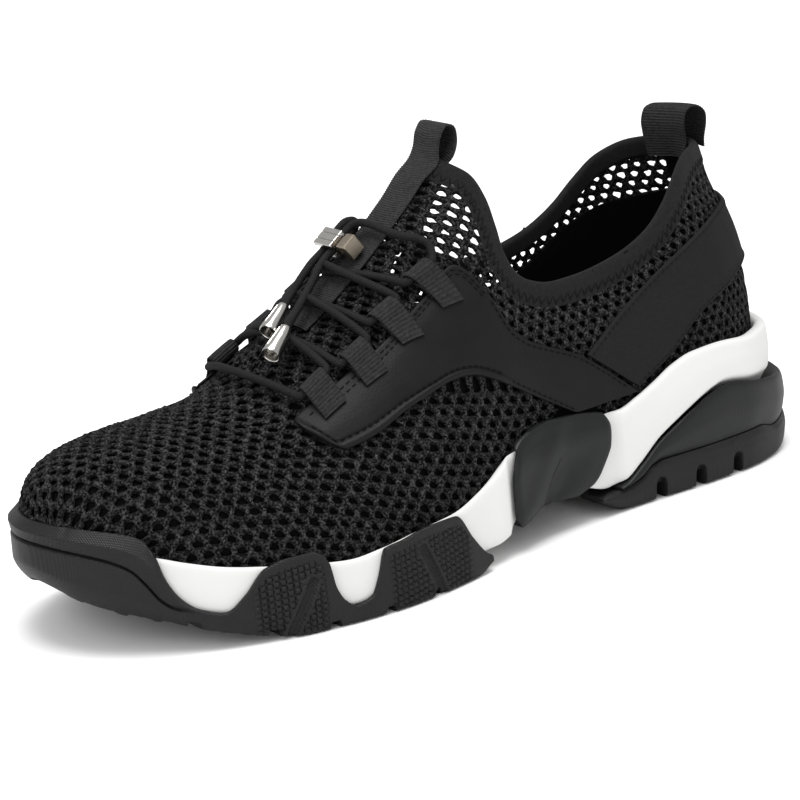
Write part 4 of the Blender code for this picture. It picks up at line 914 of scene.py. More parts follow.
# Rear panel: steps round the heel at each height from the middle of the back, and heights.
def rearSurface(step=0.75):
    z = np.arange(24.0, 128.0, step)
    u = np.arange(0, 185, step)
    s = np.linspace(0, 1, 300) ** 2
    sides = []
    for side in (-1, 1):
        rows = []
        for level in z:
            back = float(column(heelBack, 1, level))
            p = sidePoint(back + (20 - back) * s, np.full(s.shape, level), side)
            run = summed(np.hypot(np.diff(p[:, 0]), np.diff(p[:, 1])))
            rows.append(np.stack([np.interp(u, run, p[:, k]) for k in range(3)], 1))
        sides.append(np.array(rows).transpose(1, 0, 2))
    return surfaceOf(np.concatenate([sides[0][:0:-1], sides[1]]), step, (-(len(u) - 1) * step, 24.0), 1)


def scatter(u, v, salt):                 # repeatable number from -1 to 1 for a place
    key = np.sin(np.round(u * 8) * 12.9898 + np.round(v * 8) * 78.233 + salt * 37.719) * 43758.5453
    return 2 * (key - np.floor(key)) - 1


# Net: round every lattice place a six-sided outline, two frayed rings, the hole's edge and the outline again
# behind. Neighbours share their outlines, which are found by their place in the lattice.
def net(name, at, pitch, spanU, spanV, keep, holeSize, look, replaced=()):
    wide, high = pitch
    i, j = np.meshgrid(np.arange(int(spanU[0] / wide), int(spanU[1] / wide) + 1),
                       np.arange(int(spanV[0] / high), int(spanV[1] / high) + 1), indexing="ij")
    spots = np.stack([((i + 0.5 * (j % 2)) * wide).ravel(), (j * high).ravel()], 1)
    spots = spots[keep(at(spots[:, 0], spots[:, 1], np.zeros(len(spots))))]
    p, e = wide / 2, wide * wide / (8 * high)
    tall, low = high / 2 + e, high / 2 - e
    corners = np.array([(p, -low), (p, low), (0, tall), (-p, low), (-p, -low), (0, -tall)])
    outline = np.stack([corners, 0.5 * (corners + np.roll(corners, -1, axis=0))], 1).reshape(-1, 2)
    angle = np.arctan2(outline[:, 1], outline[:, 0])
    radii = np.array(holeSize) * (1 + 0.16 * np.sin(3 * angle))[:, None]
    hole = np.stack([np.cos(angle), np.sin(angle)], 1) * radii
    edge = spots[:, None] + outline
    shake = np.stack([scatter(edge[..., 0], edge[..., 1], k) for k in (1, 2, 6)], -1)
    wobble = np.stack([scatter(spots[:, 0], spots[:, 1], k) for k in (3, 4, 5)], -1)
    alone = edge[..., 0] + 0.37 * spots[:, None, 0]
    fray = np.stack([scatter(alone, edge[..., 1], k) for k in range(7, 16)], -1) * knit["fray"]
    rim = edge + 0.22 * shake[..., :2]
    opening = spots[:, None] + hole * (1 + 0.18 * wobble[:, None, :1]) + 0.2 * wobble[:, None, 1:]
    opening = opening + fray[..., :2]
    shoulder = rim + 0.32 * (opening - rim) + fray[..., 2:4]
    flank = rim + 0.7 * (opening - rim) + fray[..., 4:6]
    uv = np.stack([rim, shoulder, flank, opening, rim], 1)
    lift = np.tile([knit["knot"], knit["bar"]], 6) + 0.18 * shake[..., 2]
    flat = np.zeros(lift.shape)
    height = [lift, 0.9 * lift + fray[..., 6], 0.4 * lift + fray[..., 7], flat - 0.35, flat - knit["back"]]
    points = at(uv[..., 0], uv[..., 1], np.stack(height, 1))
    keys, same = np.unique(np.round(edge.reshape(-1, 2) * 50).astype(int), axis=0, return_inverse=True)
    same = same.ravel()
    count, sides = len(spots), len(outline)
    first = np.zeros(len(keys), int)
    first[same] = np.arange(len(same))
    inner = np.arange(count * 3 * sides).reshape(count, 3, sides) + 2 * len(keys)
    shared = same.reshape(count, 1, sides)
    index = np.concatenate([shared, inner, shared + len(keys)], 1)
    rims = [points[:, k].reshape(-1, 3)[first] for k in (0, 4)]
    flat = np.concatenate([*rims, points[:, 1:4].reshape(-1, 3)])
    after = np.roll(index, -1, axis=2)
    quads = np.stack([index[:, :4], after[:, :4], after[:, 1:], index[:, 1:]], -1).reshape(-1, 4)
    turned = np.roll(uv, -1, axis=2)
    corner = np.stack([uv[:, :4], turned[:, :4], turned[:, 1:], uv[:, 1:]], -2).reshape(-1, 4, 2)
    front = np.flatnonzero(np.tile(np.repeat(np.arange(4), sides), count) == 0)[:4000]
    a, b, c = (flat[quads[front, k]] for k in range(3))
    out = [at(corner[front, 0, 0], corner[front, 0, 1], np.full(len(front), h)) for h in (0.0, 1.0)]
    if np.sum(np.cross(b - a, c - a) * (out[1] - out[0])) < 0:
        quads, corner = quads[:, ::-1], corner[:, ::-1]
    print(name, "holes:", count, "triangles:", 2 * len(quads))
    addPiece(name, flat, quads, corner, "knit", replaced, look, sharp=180, turn=False)


# Holes are kept by panel, flank, distance below the collar and height over the sole's rim.
def buildKnit():
    def kept(p, panel, flank=0):
        rear = insidePanel(rearPanel, p[:, 0] - 1.5 * (panel == "rear"), p[:, 2])
        tongue = insidePanel(tonguePanel, p[:, 0], p[:, 2])
        inside = rear if panel == "rear" else ~rear & (tongue == (panel == "tongue"))
        inside &= (p[:, 1] - ridgeY(p[:, 0])) * flank > 0.8 * abs(flank) - 0.1
        bottom = np.maximum(footbed(p[:, 0]) - 1.5, column(rimTop, 1, p[:, 0]) - 4.5)
        return inside & (collarInset(p[:, 0], p[:, 2]) > 3.5) & (p[:, 2] > bottom)

    net("knitVamp", frontSurface(0), knit["front"], (0, 290), (-160, 108), lambda p: kept(p, "vamp"),
        knit["holeFront"], "knitFront", ("upper",))
    for label, flank in (("lateral", 1), ("medial", -1)):
        net("knitTongue_" + label, frontSurface(flank), knit["front"], (0, 290), (-190, 40),
            lambda p: kept(p, "tongue", flank), knit["holeTongue"], "knitFront")
    net("knitRear", rearSurface(), knit["rear"], (-180, 180), (26, 120), lambda p: kept(p, "rear"),
        knit["holeRear"], "knitRear")


buildKnit()

# Lining behind the knit, with its open top line, and the insole.
lining = dict(behind=1.3, thick=0.7, openTo=34)
liningTop = np.array([
    (-150.0, 109.0), (-147.5, 109.0), (-146.5, 95.0), (-141, 93.5), (-123, 91.0), (-110, 87.0), (-97.5, 82.5),
    (-88, 78.0), (-77, 74.0), (-55, 71.0), (-35, 72.0), (-15, 76.5), (5, 82.0), (22, 88.0), (34, 92.0)])


# Columns from heel to toe; rows at levels 1 - s^2 up to the open top line, or to the ridge in front of it.
def buildLining():
    x = stations((upperEnds[0], upperEnds[1] - 0.2), 130)[:, None]
    tall = ridge(x) - footbed(x)
    reach = np.minimum((column(liningTop, 1, x) - footbed(x)) / np.maximum(tall, 1e-6), 1.0)
    reach = np.where(x > lining["openTo"], 1.0, reach)
    s = 1 + (np.sqrt(1 - reach) - 1) * np.linspace(0, 1, 44)[None]
    z = footbed(x) + 0.5 + (1 - s ** 2) * (tall - 0.5)
    x = x + heelLean(x, z)
    lateral, medial = (sidePoint(x, z, side) for side in (1, -1))
    for half in (lateral, medial):
        half[[0, -1], :, 1] = centre(half[[0, -1], :, 0])
    ring = np.concatenate([lateral, medial[-2:0:-1]])
    normal = ringNormals(ring)
    outer = ring + normal * (creased(ring)[..., None] - lining["behind"])
    inner = outer - lining["thick"] * normal
    addPiece("innerLining", *shell(outer, inner, True, (3.0, 2.0)), "lining", sharp=70)


# Closed loops round the sole's plan for rings of inset and height at stations x, lateral half first.
def soleLoops(x, inset, z, bothTips):
    px, half = drawnIn(x, inset)
    lateral, medial = (np.stack([px, centre(px) + side * half, z + 0 * px], -1) for side in (1, -1))
    lateral[:, -1, 1] = centre(px[:, -1])
    if bothTips:
        lateral[:, 0, 1] = centre(px[:, 0])
        return np.concatenate([lateral, medial[:, -2:0:-1]], 1)
    return np.concatenate([lateral, medial[:, -2::-1]], 1)


# Rings of a profile, each an inset and a height, split into finer rings with rounded corners.
def refine(rings, splits, x, rounding):
    inset, z = (np.stack([np.broadcast_to(r[k], x.shape) for r in rings]).astype(float) for k in (0, 1))
    place = [np.linspace(k, k + 1, n, endpoint=False) for k, n in enumerate(splits)]
    place = np.concatenate(place + [[len(rings) - 1.0]])
    low = np.minimum(place.astype(int), len(rings) - 2)
    t = (place - low)[:, None]
    return [soften(v[low] * (1 - t) + v[low + 1] * t, rounding) for v in (inset, z)]


# Solid through loops round the sole's plan, capped below and above by rungs across the sole.
def addLoft(name, x, rings, bothTips, slot, replaced, sharp=50.0):
    loops = soleLoops(x, *rings, bothTips)
    count, size = loops.shape[:2]
    quads, uv = gridQuads(count, size, False, True)
    i = np.arange(size // 2)
    last = size if bothTips else size - 1
    first = np.stack([i, i + 1, last - 1 - i, (last - i) % size], 1)
    first = first[(first[:, 1] != first[:, 2]) | (first[:, 0] != first[:, 3])]
    quads = np.concatenate([quads, first, first[:, ::-1] + (count - 1) * size])
    uv = np.concatenate([uv, np.zeros((2 * len(first), 4, 2))])
    return addPiece(name, loops, quads, uv, slot, replaced, sharp=sharp)


insole = dict(inset=2.5, start=0.6, thick=4.0)


# Insole: rings from the footbed up to a domed top, drawn in as far as the upper leans in.
def buildInsole():
    x = stations(soleEnds, 90)
    bed = footbed(drawnIn(x, ledge(x) + 2.2)[0]) + insole["start"]
    top = bed + insole["thick"]
    inset = ledge(x) + insole["inset"] + leanIn(x, top)
    rings = [(inset + 0.6, bed), (inset, bed + 0.8), (inset, bed + 3.2), (inset + 0.8, top),
             (inset + 6.0, bed + 4.1)]
    piece = addLoft("insolePad", x, refine(rings, (3, 4, 3, 6), x, 2), True, "lining", ("insole",))


buildLining()
buildInsole()
print("knit, lining and insole made")

# Collar binding: tape folded over the edge, outside, half round and inside.
binding = dict(width=9.0, inside=6.6, proud=0.5, wall=2.2, round=1.6, pad=0.35)


# Rows at even insets from the collar's edge, round both sides, and their normals.
def bindingGrid(count):
    insets = np.linspace(binding["width"], 0.6, 18)
    ring = around(np.stack([collarLine(inset, count) for inset in insets], 1))
    return insets, ring, ringNormals(ring)


# Outer rows swollen by a half sine, a half round over the edge, and inner rows back.
def buildBinding():
    insets, ring, normal = bindingGrid(130)
    rise = unit(ring[:, -1] - ring[:, -3])
    swell = binding["pad"] * np.sin(np.pi * (binding["width"] - insets) / binding["width"])[None, :, None]
    keep = insets > 1.7
    low = keep & (insets < binding["inside"])
    outer = (ring + (binding["proud"] + swell) * normal)[:, keep]
    inner = (ring - (binding["wall"] + binding["proud"] + 0.5 * swell) * normal)[:, low]
    middle = ring[:, -3] - 0.5 * binding["wall"] * normal[:, -3]
    turn = np.linspace(0.15, np.pi - 0.15, 11)[None, :, None]
    bow = np.cos(turn) * normal[:, None, -3] + 0.9 * np.sin(turn) * rise[:, None]
    top = middle[:, None] + binding["round"] * bow
    loop = np.concatenate([outer, top, inner[:, ::-1]], 1)
    quads, uv = gridQuads(*loop.shape[:2], True, True)
    uv = uv * np.array([2.6, 0.6])
    addPiece("collarBinding", loop, quads, uv, "webbing", ("collar_binding",), "binding", sharp=70)


stitch = dict(binding=(1.0, 0.75, 0.45), eyestay=(1.9, 0.6, 0.5), strap=(1.5, 0.4, 0.35),
              strip=(1.7, 0.4, 0.35))


# Stitches of a length, width and height: spindles of five rings about each mark's own tangent and normal.
def addStitches(name, marks, size):
    middle, tangent, normal = (np.concatenate([m[k] for m in marks]) for k in range(3))
    tangent = unit(tangent)
    across = np.cross(normal, tangent)
    s = np.array([-1, -0.8, 0, 0.8, 1])[None, :, None, None] * size[0] / 2
    r = np.array([0.0, 0.75, 1, 0.75, 0.0])[None, :, None, None]
    turn = np.linspace(0, 2 * np.pi, 6, endpoint=False)[None, None, :, None]
    if len(marks[0]) > 3:
        s = s * np.concatenate([m[3] for m in marks])[:, None, None, None]
    m, t, a, n = (v[:, None, None] for v in (middle, tangent, across, normal))
    points = m + s * t + r * (size[1] / 2 * np.cos(turn) * a + size[2] / 2 * np.sin(turn) * n)
    quads, uv = gridQuads(5, 6, False, True)
    shift = np.arange(len(middle))[:, None, None] * 30
    quads = (quads[None] + shift).reshape(-1, 4)
    uv = np.tile(uv, (len(middle), 1, 1))
    addPiece(name, points, quads, uv, "webbing", (), "thread", sharp=180, weld=True)


# Marks at an even pitch along a path that has normals.
def rowMarks(path, normal, pitch):
    run = runOf(path)
    at = np.arange(0.6 * pitch, run[-1] - 0.4 * pitch, pitch)
    pick = [np.stack([np.interp(at, run, v[:, k]) for k in range(3)], 1)
            for v in (path, np.gradient(path, axis=0), normal)]
    return pick[0], unit(pick[1]), unit(pick[2])


# Zigzag between two rows of the binding, a stitch for each leg.
def buildBindingStitches(count=241):
    insets, ring, normal = bindingGrid(160)
    low, high = (np.argmin(np.abs(insets - v)) for v in (8.0, 5.0))
    paths = [ring[:, k] + (binding["proud"] + 0.22) * normal[:, k] for k in (low, high)]
    fraction = np.linspace(0, 1, count)
    a, b, n = (along(np.concatenate([p, p[:1]]), fraction) for p in (*paths, normal[:, low]))
    n = unit(n)
    zig = np.where((np.arange(count) % 2 == 0)[:, None], a, b)
    step = np.diff(zig, axis=0)
    marks = [(zig[:-1] + 0.5 * step, step, unit(n[:-1] + n[1:]), np.linalg.norm(step, axis=1))]
    addStitches("bindingStitches", marks, stitch["binding"])


buildBinding()
buildBindingStitches()

# Leather eyestays and heel strap. Rows: lower edge and upper edge in side view. The eyestay's run turns
# shares of its length into millimetres, and the strap's width those across it.
eyestay = dict(lift=0.9, thick=1.2, rim=2.3, rimHeight=0.75, run=190.0, rows=[
    (54.0, 52.6, 63.5, 61.5), (42.0, 55.2, 44.2, 71.0), (27.5, 60.4, 25.5, 80.0), (14.4, 63.6, 5.0, 91.0),
    (3.4, 64.8, -9.5, 98.4), (-3.5, 63.8, -16.6, 89.2), (-10.5, 60.7, -23.5, 75.0),
    (-28.5, 50.2, -54.6, 56.9), (-46.0, 40.0, -75.0, 40.5)])
strap = dict(lift=0.9, thick=1.2, width=22.0, rows=[
    (-75.6, 42.0, -55.1, 58.0), (-92.0, 50.4, -75.0, 70.5), (-106.0, 60.8, -94.0, 81.0),
    (-125.0, 67.5, -116.0, 90.0), (-148.0, 71.5, -140.6, 94.0)])
saddleTop = np.array([(-60, 36.0), (-57, 37.5), (-44, 40.0), (-30, 41.0), (-19, 39.0), (-10, 33.5)])


# Height kept just over the sole's rim and the saddle's top.
def aboveSole(x, z):
    over = np.where((x > -60.5) & (x < -9), column(saddleTop, 1, x), 0.0)
    return np.maximum(z, np.maximum(column(rimTop, 1, x), over) + 0.4)


# Edge lines of a band in side view, read at fractions of their length, and the distance between them.
def bandEdges(rows, fraction):
    rows = np.array(rows, float)
    low, high = along(spline(rows[:, :2], 400), fraction), along(spline(rows[:, 2:], 400), fraction)
    return low, high, np.linalg.norm(high - low, axis=1)


# Across a band: dense near both edges, given as distances in from each edge.
edgeSteps = np.array([0.0, 0.12, 0.3, 0.6, 1.0, 1.4, 1.8, 2.2, 2.5, 2.8, 3.2])


def bandAcross(width):
    near = np.minimum(edgeSteps[None] / width[:, None], 0.49)
    between = np.linspace(near[:, -1], 1 - near[:, -1], 14, axis=1)[:, 1:-1]
    return np.concatenate([near, between, 1 - near[:, ::-1]], 1)


# Quarter round of an edge: sqrt(1 - (1 - d / r)^2).
def edgeRound(d, r):
    return np.sqrt(1 - (1 - np.clip(d / r, 0, 1)) ** 2)


# Face of a band (way 1) or its underside (-1): half the thickness from its middle, rounded at the edges.
def bandFace(band, edge, way, r):
    half = 0.5 * band["thick"]
    return band["lift"] + half + way * half * edgeRound(edge, r)


# Eyestay at shares along and across it; its front end closes in a curve of power 2.6.
def eyestaySurface(fraction, across, side, offset):
    low, high, _ = bandEdges(eyestay["rows"], fraction)
    run = fraction * eyestay["run"]
    close = (1 - np.clip(1 - run / 3.4, 0, 1) ** 2.6) ** (1 / 2.6)   # rounded front end
    middle = 0.5 * (low + high)[:, None]
    side2d = middle + (across[..., None] - 0.5) * (high - low)[:, None] * close[:, None, None]
    x = side2d[..., 0]
    z = aboveSole(x, side2d[..., 1])
    return sideSurface(x, z, side, offset + 0.8 * creased(sidePoint(x, z, side)))


# Seams: shares of the length at both ends, inset, and whether it is from the upper edge.
eyestaySeams = [(0.02, 0.66, 3.0, False), (0.66, 0.98, 1.6, False), (0.56, 0.98, 1.6, True),
                (0.03, 0.56, 1.7, True), (0.05, 0.55, 3.1, True)]


# A bead along the lower edge, a trench behind it and a soft puff inside both edges.
def buildEyestay(label, side):
    fraction = np.concatenate([np.array([0.0, 0.05, 0.2, 0.5, 1.0, 1.6, 2.4, 3.4, 4.4]) / eyestay["run"],
                               np.linspace(5.5 / eyestay["run"], 1, 130)])
    width = bandEdges(eyestay["rows"], fraction)[2]
    across = bandAcross(width)
    fromLow, fromHigh = across * width[:, None], (1 - across) * width[:, None]
    edge = np.minimum(fromLow, fromHigh)
    leg = 1 - ease(fraction, 0.62, 0.72)[:, None]              # the rolled rim fades along the rear leg
    inRim = np.minimum(fromLow, fraction[:, None] * eyestay["run"] + 0.2)
    half = 0.5 * eyestay["rim"]
    bead = eyestay["rimHeight"] * np.sqrt(np.clip(1 - ((inRim - half) / half) ** 2, 0, 1)) * leg
    trench = -0.35 * np.exp(-((inRim - eyestay["rim"] - 0.35) / 0.3) ** 2) * leg
    puff = 0.35 * ease(edge, 2.5, 7.0)
    top = bandFace(eyestay, edge, 1, 0.6) + bead + trench + puff
    outer, inner = (eyestaySurface(fraction, across, side, face)[0]
                    for face in (top, bandFace(eyestay, edge, -1, 0.4)))
    skin = shell(outer, inner, False, (1.4, 0.8))
    addPiece("eyestay_" + label, *skin, "leather", ("eyestay_" + label,), sharp=60, weld=True)
    seams = []                                                 # shares along and across of each seam
    for start, end, inset, fromTop in eyestaySeams:
        f = np.linspace(start, end, 160)
        w = bandEdges(eyestay["rows"], f)[2]
        seams.append((f, 1 - inset / w if fromTop else inset / w))
    seams.append((np.full(40, 3.1 / eyestay["run"]), np.linspace(0.2, 0.8, 40)))
    marks = []
    for f, a in seams:
        proud = np.full((len(a), 1), eyestay["lift"] + eyestay["thick"] + 0.08)
        path, normal = eyestaySurface(f, a[:, None], side, proud)
        marks.append(rowMarks(path[:, 0], normal[:, 0], 2.7))
    addStitches("eyestayStitches_" + label, marks, stitch["eyestay"])


# Strap from waist to waist round the heel: rows between its edges, on both sides.
def strapGrid(across, count=80):
    fraction = np.sin(np.linspace(0, np.pi / 2, count))
    low, high, _ = bandEdges(strap["rows"], fraction)
    grid = low[:, None] + across[None, :, None] * (high - low)[:, None]
    grid[..., 1] = aboveSole(grid[..., 0], grid[..., 1])
    grid[-1, :, 0] = column(heelBack, 1, grid[-1, :, 1])
    lateral, medial = (sidePoint(grid[..., 0], grid[..., 1], side) for side in (1, -1))
    lateral[-1, :, 1] = centre(lateral[-1, :, 0])
    band = np.concatenate([lateral, medial[-2::-1]])
    return band, gridNormals(band)


# Flat band with a raised hem and a seam along each edge.
def buildStrap():
    inset = edgeSteps[:7] / strap["width"]
    across = np.concatenate([inset, np.linspace(inset[-1], 1 - inset[-1], 16)[1:-1], 1 - inset[::-1]])
    band, normal = strapGrid(across)
    edge = np.minimum(across, 1 - across) * strap["width"]
    hem = 0.25 * (ease(edge, 0.0, 0.5) - ease(edge, 2.0, 2.6))
    outer, inner = (band + (face[None, :, None] + 0.8 * creased(band)[..., None]) * normal
                    for face in (bandFace(strap, edge, 1, 0.5) + hem, bandFace(strap, edge, -1, 0.4)))
    skin = shell(outer, inner, False, (2.0, 1.0))
    addPiece("heelStrap", *skin, "webbing", ("heel_strap",), "strap", sharp=60)
    marks = []
    for k in (1.2 / strap["width"], 1 - 1.2 / strap["width"]):
        line, n = strapGrid(np.array([k - 0.01, k, k + 0.01]), 160)
        path = line[:, 1] + (strap["lift"] + strap["thick"] + 0.3) * n[:, 1]
        marks.append(rowMarks(path, n[:, 1], 2.4))
    addStitches("strapStitches", marks, stitch["strap"])


buildEyestay("lateral", 1)
buildEyestay("medial", -1)
buildStrap()
print("binding, eyestays and strap made")

# Webbing: tongue strip, heel loop and lace loops, with ribs across the tape. Loops are lines in side view.
webbing = dict(thick=0.9, rib=0.19, samples=5, stripWidth=15.0, stripFront=40.0, stripPitch=0.85,
               heelWidth=17.0, heelPitch=1.0, laceRibs=27)
tongueLoop = [(-19.5, 135.0), (-21.3, 139.5), (-23.8, 141.6), (-26.8, 140.6), (-27.6, 137.0), (-25.2, 132.0)]
heelLoop = [
    (-128.2, 109.5), (-127.6, 112.0), (-126.2, 118.0), (-125.8, 123.5), (-127.5, 127.2), (-131.5, 127.9),
    (-135.2, 125.4), (-136.4, 121.0), (-136.4, 116.0), (-136.6, 112.5)]


def tapeLength(rows):
    return np.linalg.norm(np.diff(rows[:, rows.shape[1] // 2], axis=0), axis=1).sum()


# Tape along a grid of its middle points: half the thickness plus a rib wave out, drawn in at the selvedges.
def addTape(name, rows, replaced, look="webbing"):
    normal = gridNormals(rows)
    wave = webbing["rib"] * np.cos(np.arange(len(rows)) * 2 * np.pi / webbing["samples"])[:, None]
    cross = np.abs(np.linspace(-1, 1, rows.shape[1]))[None]
    body = (0.5 * webbing["thick"] - webbing["rib"]) * (1 - 0.6 * cross ** 12) + wave * (1 - cross ** 10)
    thick = body[..., None] * normal
    scale = tapeLength(rows) / len(rows), np.linalg.norm(rows[0, -1] - rows[0, 0]) / rows.shape[1]
    addPiece(name, *shell(rows + thick, rows - thick, False, scale), "webbing", replaced, look, sharp=75)


def tapeAcross(width):                   # places across a tape, closer at its selvedges
    return np.concatenate([[-0.5, -0.485], np.linspace(-0.46, 0.46, 9), [0.485, 0.5]]) * width


def ribbed(rows, pitch):                 # rows read again at a few samples for each rib
    count = int(tapeLength(rows) / pitch) * webbing["samples"] + 1
    return np.stack([spline(rows[:, k], count) for k in range(rows.shape[1])], 1)


# Strip up the tongue, round its loop and back down inside.
def buildTongueStrip():
    across = tapeAcross(webbing["stripWidth"])
    top = collarLine(0.0, 50)[-1, 0]
    x = np.array([webbing["stripFront"], 35, 30, 25, 20, 15, 10, 6, 2, -2, -6, top + 6.5, top + 0.5])[:, None]
    lift = 1.35 + 0.5 * ease(-x, -top - 10.5, -top - 9)
    outside = topSurface(x, ridgeY(x) + across, lift + 0 * across)
    free = np.array(tongueLoop)[:, None, :]
    loop = np.broadcast_arrays(free[..., 0], ridgeY(np.array(top)) + across, free[..., 1])
    loop = np.stack(loop, -1)
    sag = outside[-1, :, 2] - outside[-1, len(across) // 2, 2]
    for k, share in ((0, 0.6), (1, 0.2), (-1, 0.6)):
        loop[k, :, 2] += share * sag
    x = np.array([top - 1.0, top + 5.0, top + 10.0])[:, None]
    inside = topSurface(x, ridgeY(x) + across, -3.95 + 0 * across)
    rows = ribbed(np.concatenate([outside, loop, inside]), webbing["stripPitch"])
    addTape("tongueStrip", rows, ("tongue_strip",), "strip")
    sewn = int(len(rows) * 0.6)
    normal = gridNormals(rows)
    marks = [rowMarks(rows[:sewn, k] + 0.45 * normal[:sewn, k], normal[:sewn, k], 2.6) for k in (1, -2)]
    addStitches("stripStitches", marks, stitch["strip"])


# Loop's line swept across, bent by half of y^2 over a radius and twisted by a share of y.
def buildHeelLoop():
    across = tapeAcross(webbing["heelWidth"])
    path = spline(heelLoop, 60)[:, None, :]
    share = np.linspace(0, 1, 60)[:, None]
    bend = across ** 2 / 2 * ((1 - share) / 14.0 + share / 24.0)
    twist = 0.34 * np.where(across > 0, ease(share, 0.0, 0.2), 1.0) * (1 - ease(share, 0.65, 1.0)) * across
    x, y, z = path[..., 0] + bend - twist, centre(path[..., 0]) + across, path[..., 1]
    rows = np.stack(np.broadcast_arrays(x, y, z), -1)
    addTape("heelLoop", ribbed(rows, webbing["heelPitch"]), ("heel_loop",))


# Lace loops: distance in plan from the mouth, and height over the last, along the lower tape, round the cord
# and back on top.
def buildLaceLoops():
    turn = np.linspace(-0.5 * np.pi, -1.5 * np.pi, 14)
    flat = eyestay["lift"] + eyestay["thick"] + 0.6 + 0.5 * webbing["thick"]
    second = flat + webbing["thick"] + 0.3
    h = np.concatenate([[flat - 1.6, flat - 1.2, flat], lace["lift"] + lace["tunnel"] * np.sin(turn),
                        [second + 0.2, second - 0.9, second - 1.5]])
    offset = np.concatenate([[-1, -0.97], np.linspace(-0.9, 0.9, 5), [0.97, 1]]) * lace["loopHalf"]
    for side, label in ((1, "lateral"), (-1, "medial")):
        for k, (x0, y0, x1, y1) in enumerate(laceLoops):
            run = math.hypot(x1 - x0, y1 - y0)
            bow = 0.8 * lace["tunnel"] * np.cos(turn)
            d = np.concatenate([[run, 0.7 * run, 3.2], bow, [3.4, 0.7 * run, run]])
            fine = spline(np.stack([d, h], 1), webbing["laceRibs"] * webbing["samples"] + 1)
            share = fine[:, :1] / run
            x = x0 + share * (x1 - x0) + offset
            y = y0 + share * (y1 - y0) + 0 * offset
            rows = topSurface(x, mirrored(x, y, side), fine[:, 1:] + 0 * x)
            addTape("laceLoop_%s_%d" % (label, k + 1), rows, ("lace_loop_%s_%d" % (label, k + 1),))


buildTongueStrip()
buildHeelLoop()
buildLaceLoops()
print("webbing made")

# Sole: foam, forefoot rubber, waist saddle, heel block and heel tread. Lines are place and height in side
# view; saddle edges are level, rear place and front place.
foreBottom = np.array([
    (4, 3.0), (8, 0.8), (12, 0.0), (80, 0.0), (90, 1.3), (100, 3.8), (110, 6.6), (119, 9.2), (128, 11.7),
    (137, 14.8), (142, 17.2), (147.5, 21.5)])
foreTop = np.array([
    (4, 5.8), (6, 7.0), (13, 15.0), (20, 24.5), (33, 25.0), (44, 23.5), (51, 22.5), (54, 14.0), (57, 8.0),
    (63, 6.2), (67, 9.0), (70, 15.0), (71.5, 23.0), (76, 27.0), (85, 27.0), (92, 25.0), (99, 17.0),
    (105, 12.5), (112, 14.5), (117, 19.0), (120.5, 26.0), (122.5, 34.0), (127, 39.5), (136, 42.0),
    (147.5, 43.5)])
bumperGroove = np.array([
    (104, 10.5), (112, 13.8), (119, 16.0), (122.2, 18.8), (125.5, 24.5), (128.8, 29.2), (135.4, 33.2),
    (147.5, 37.0)])
saddleBottom = np.array([(-60, 11.0), (-50, 11.5), (-41, 12.0), (-25, 13.5), (-16, 10.8), (-8, 8.6)])
saddleEdges = np.array([
    (0.0, -42.0, -12.3), (0.1, -50.0, -11.4), (0.3, -55.0, -11.0), (0.6, -59.0, -11.0),
    (0.85, -59.5, -12.5), (1.0, -57.0, -14.5)])
whiteBottom = np.array([
    (-160.5, 28.0), (-146, 30.0), (-130, 33.0), (-113, 36.0), (-105, 34.0), (-98, 31.0), (-90, 27.0),
    (-81, 22.0), (-72, 15.0), (-65, 10.6), (-58, 9.0), (-50, 11.3), (-41, 15.2), (-25, 16.2), (-16, 13.0),
    (-10, 9.0), (-4, 7.0), (3, 6.4), (8, 6.4)])
treadTop = np.array([
    (-160.5, 19.0), (-157, 15.0), (-149, 11.5), (-140, 11.5), (-130, 14.0), (-82, 14.0), (-77, 12.8),
    (-72, 9.6), (-66, 8.2), (-50, 7.2)])
treadBottom = np.array([
    (-160.5, 10.0), (-158, 6.5), (-152, 3.2), (-145, 0.9), (-138, 0.0), (-70, 0.0), (-64, 0.5), (-60, 1.6),
    (-56, 3.8), (-53, 6.0)])
outsole = dict(plate=5.0, grooves=(31.0, 51.0, 71.0, 91.0, 114.0), grooveWidth=3.0, grooveDepth=2.0,
               waffle=2.1, waffleHeight=0.75,
               slashes=[((77.5, 17.5), (85.7, 2.0)), ((36.5, 18.5), (28.5, 0.0))], slashWidth=1.5,
               slashDepth=1.1, toeLugs=(143.0, 133.0, 124.3), toeLug=0.8, curl=3.6)
tread = dict(grooves=(-80.0, -98.0, -116.0), width=4.0, depth=5.0, notch=8.3, notchDepth=2.0)


# Sum of depth times 1 - smooth step over each groove's wall.
def grooved(x, places, width, depth, slope=0.5):
    return sum(depth * (1 - ease(np.abs(x - place), width / 2, width / 2 + slope)) for place in places)


def heelDish(x):                         # how far the foam sinks into the heel block
    return 8.0 * ease(-x, 66, 92)


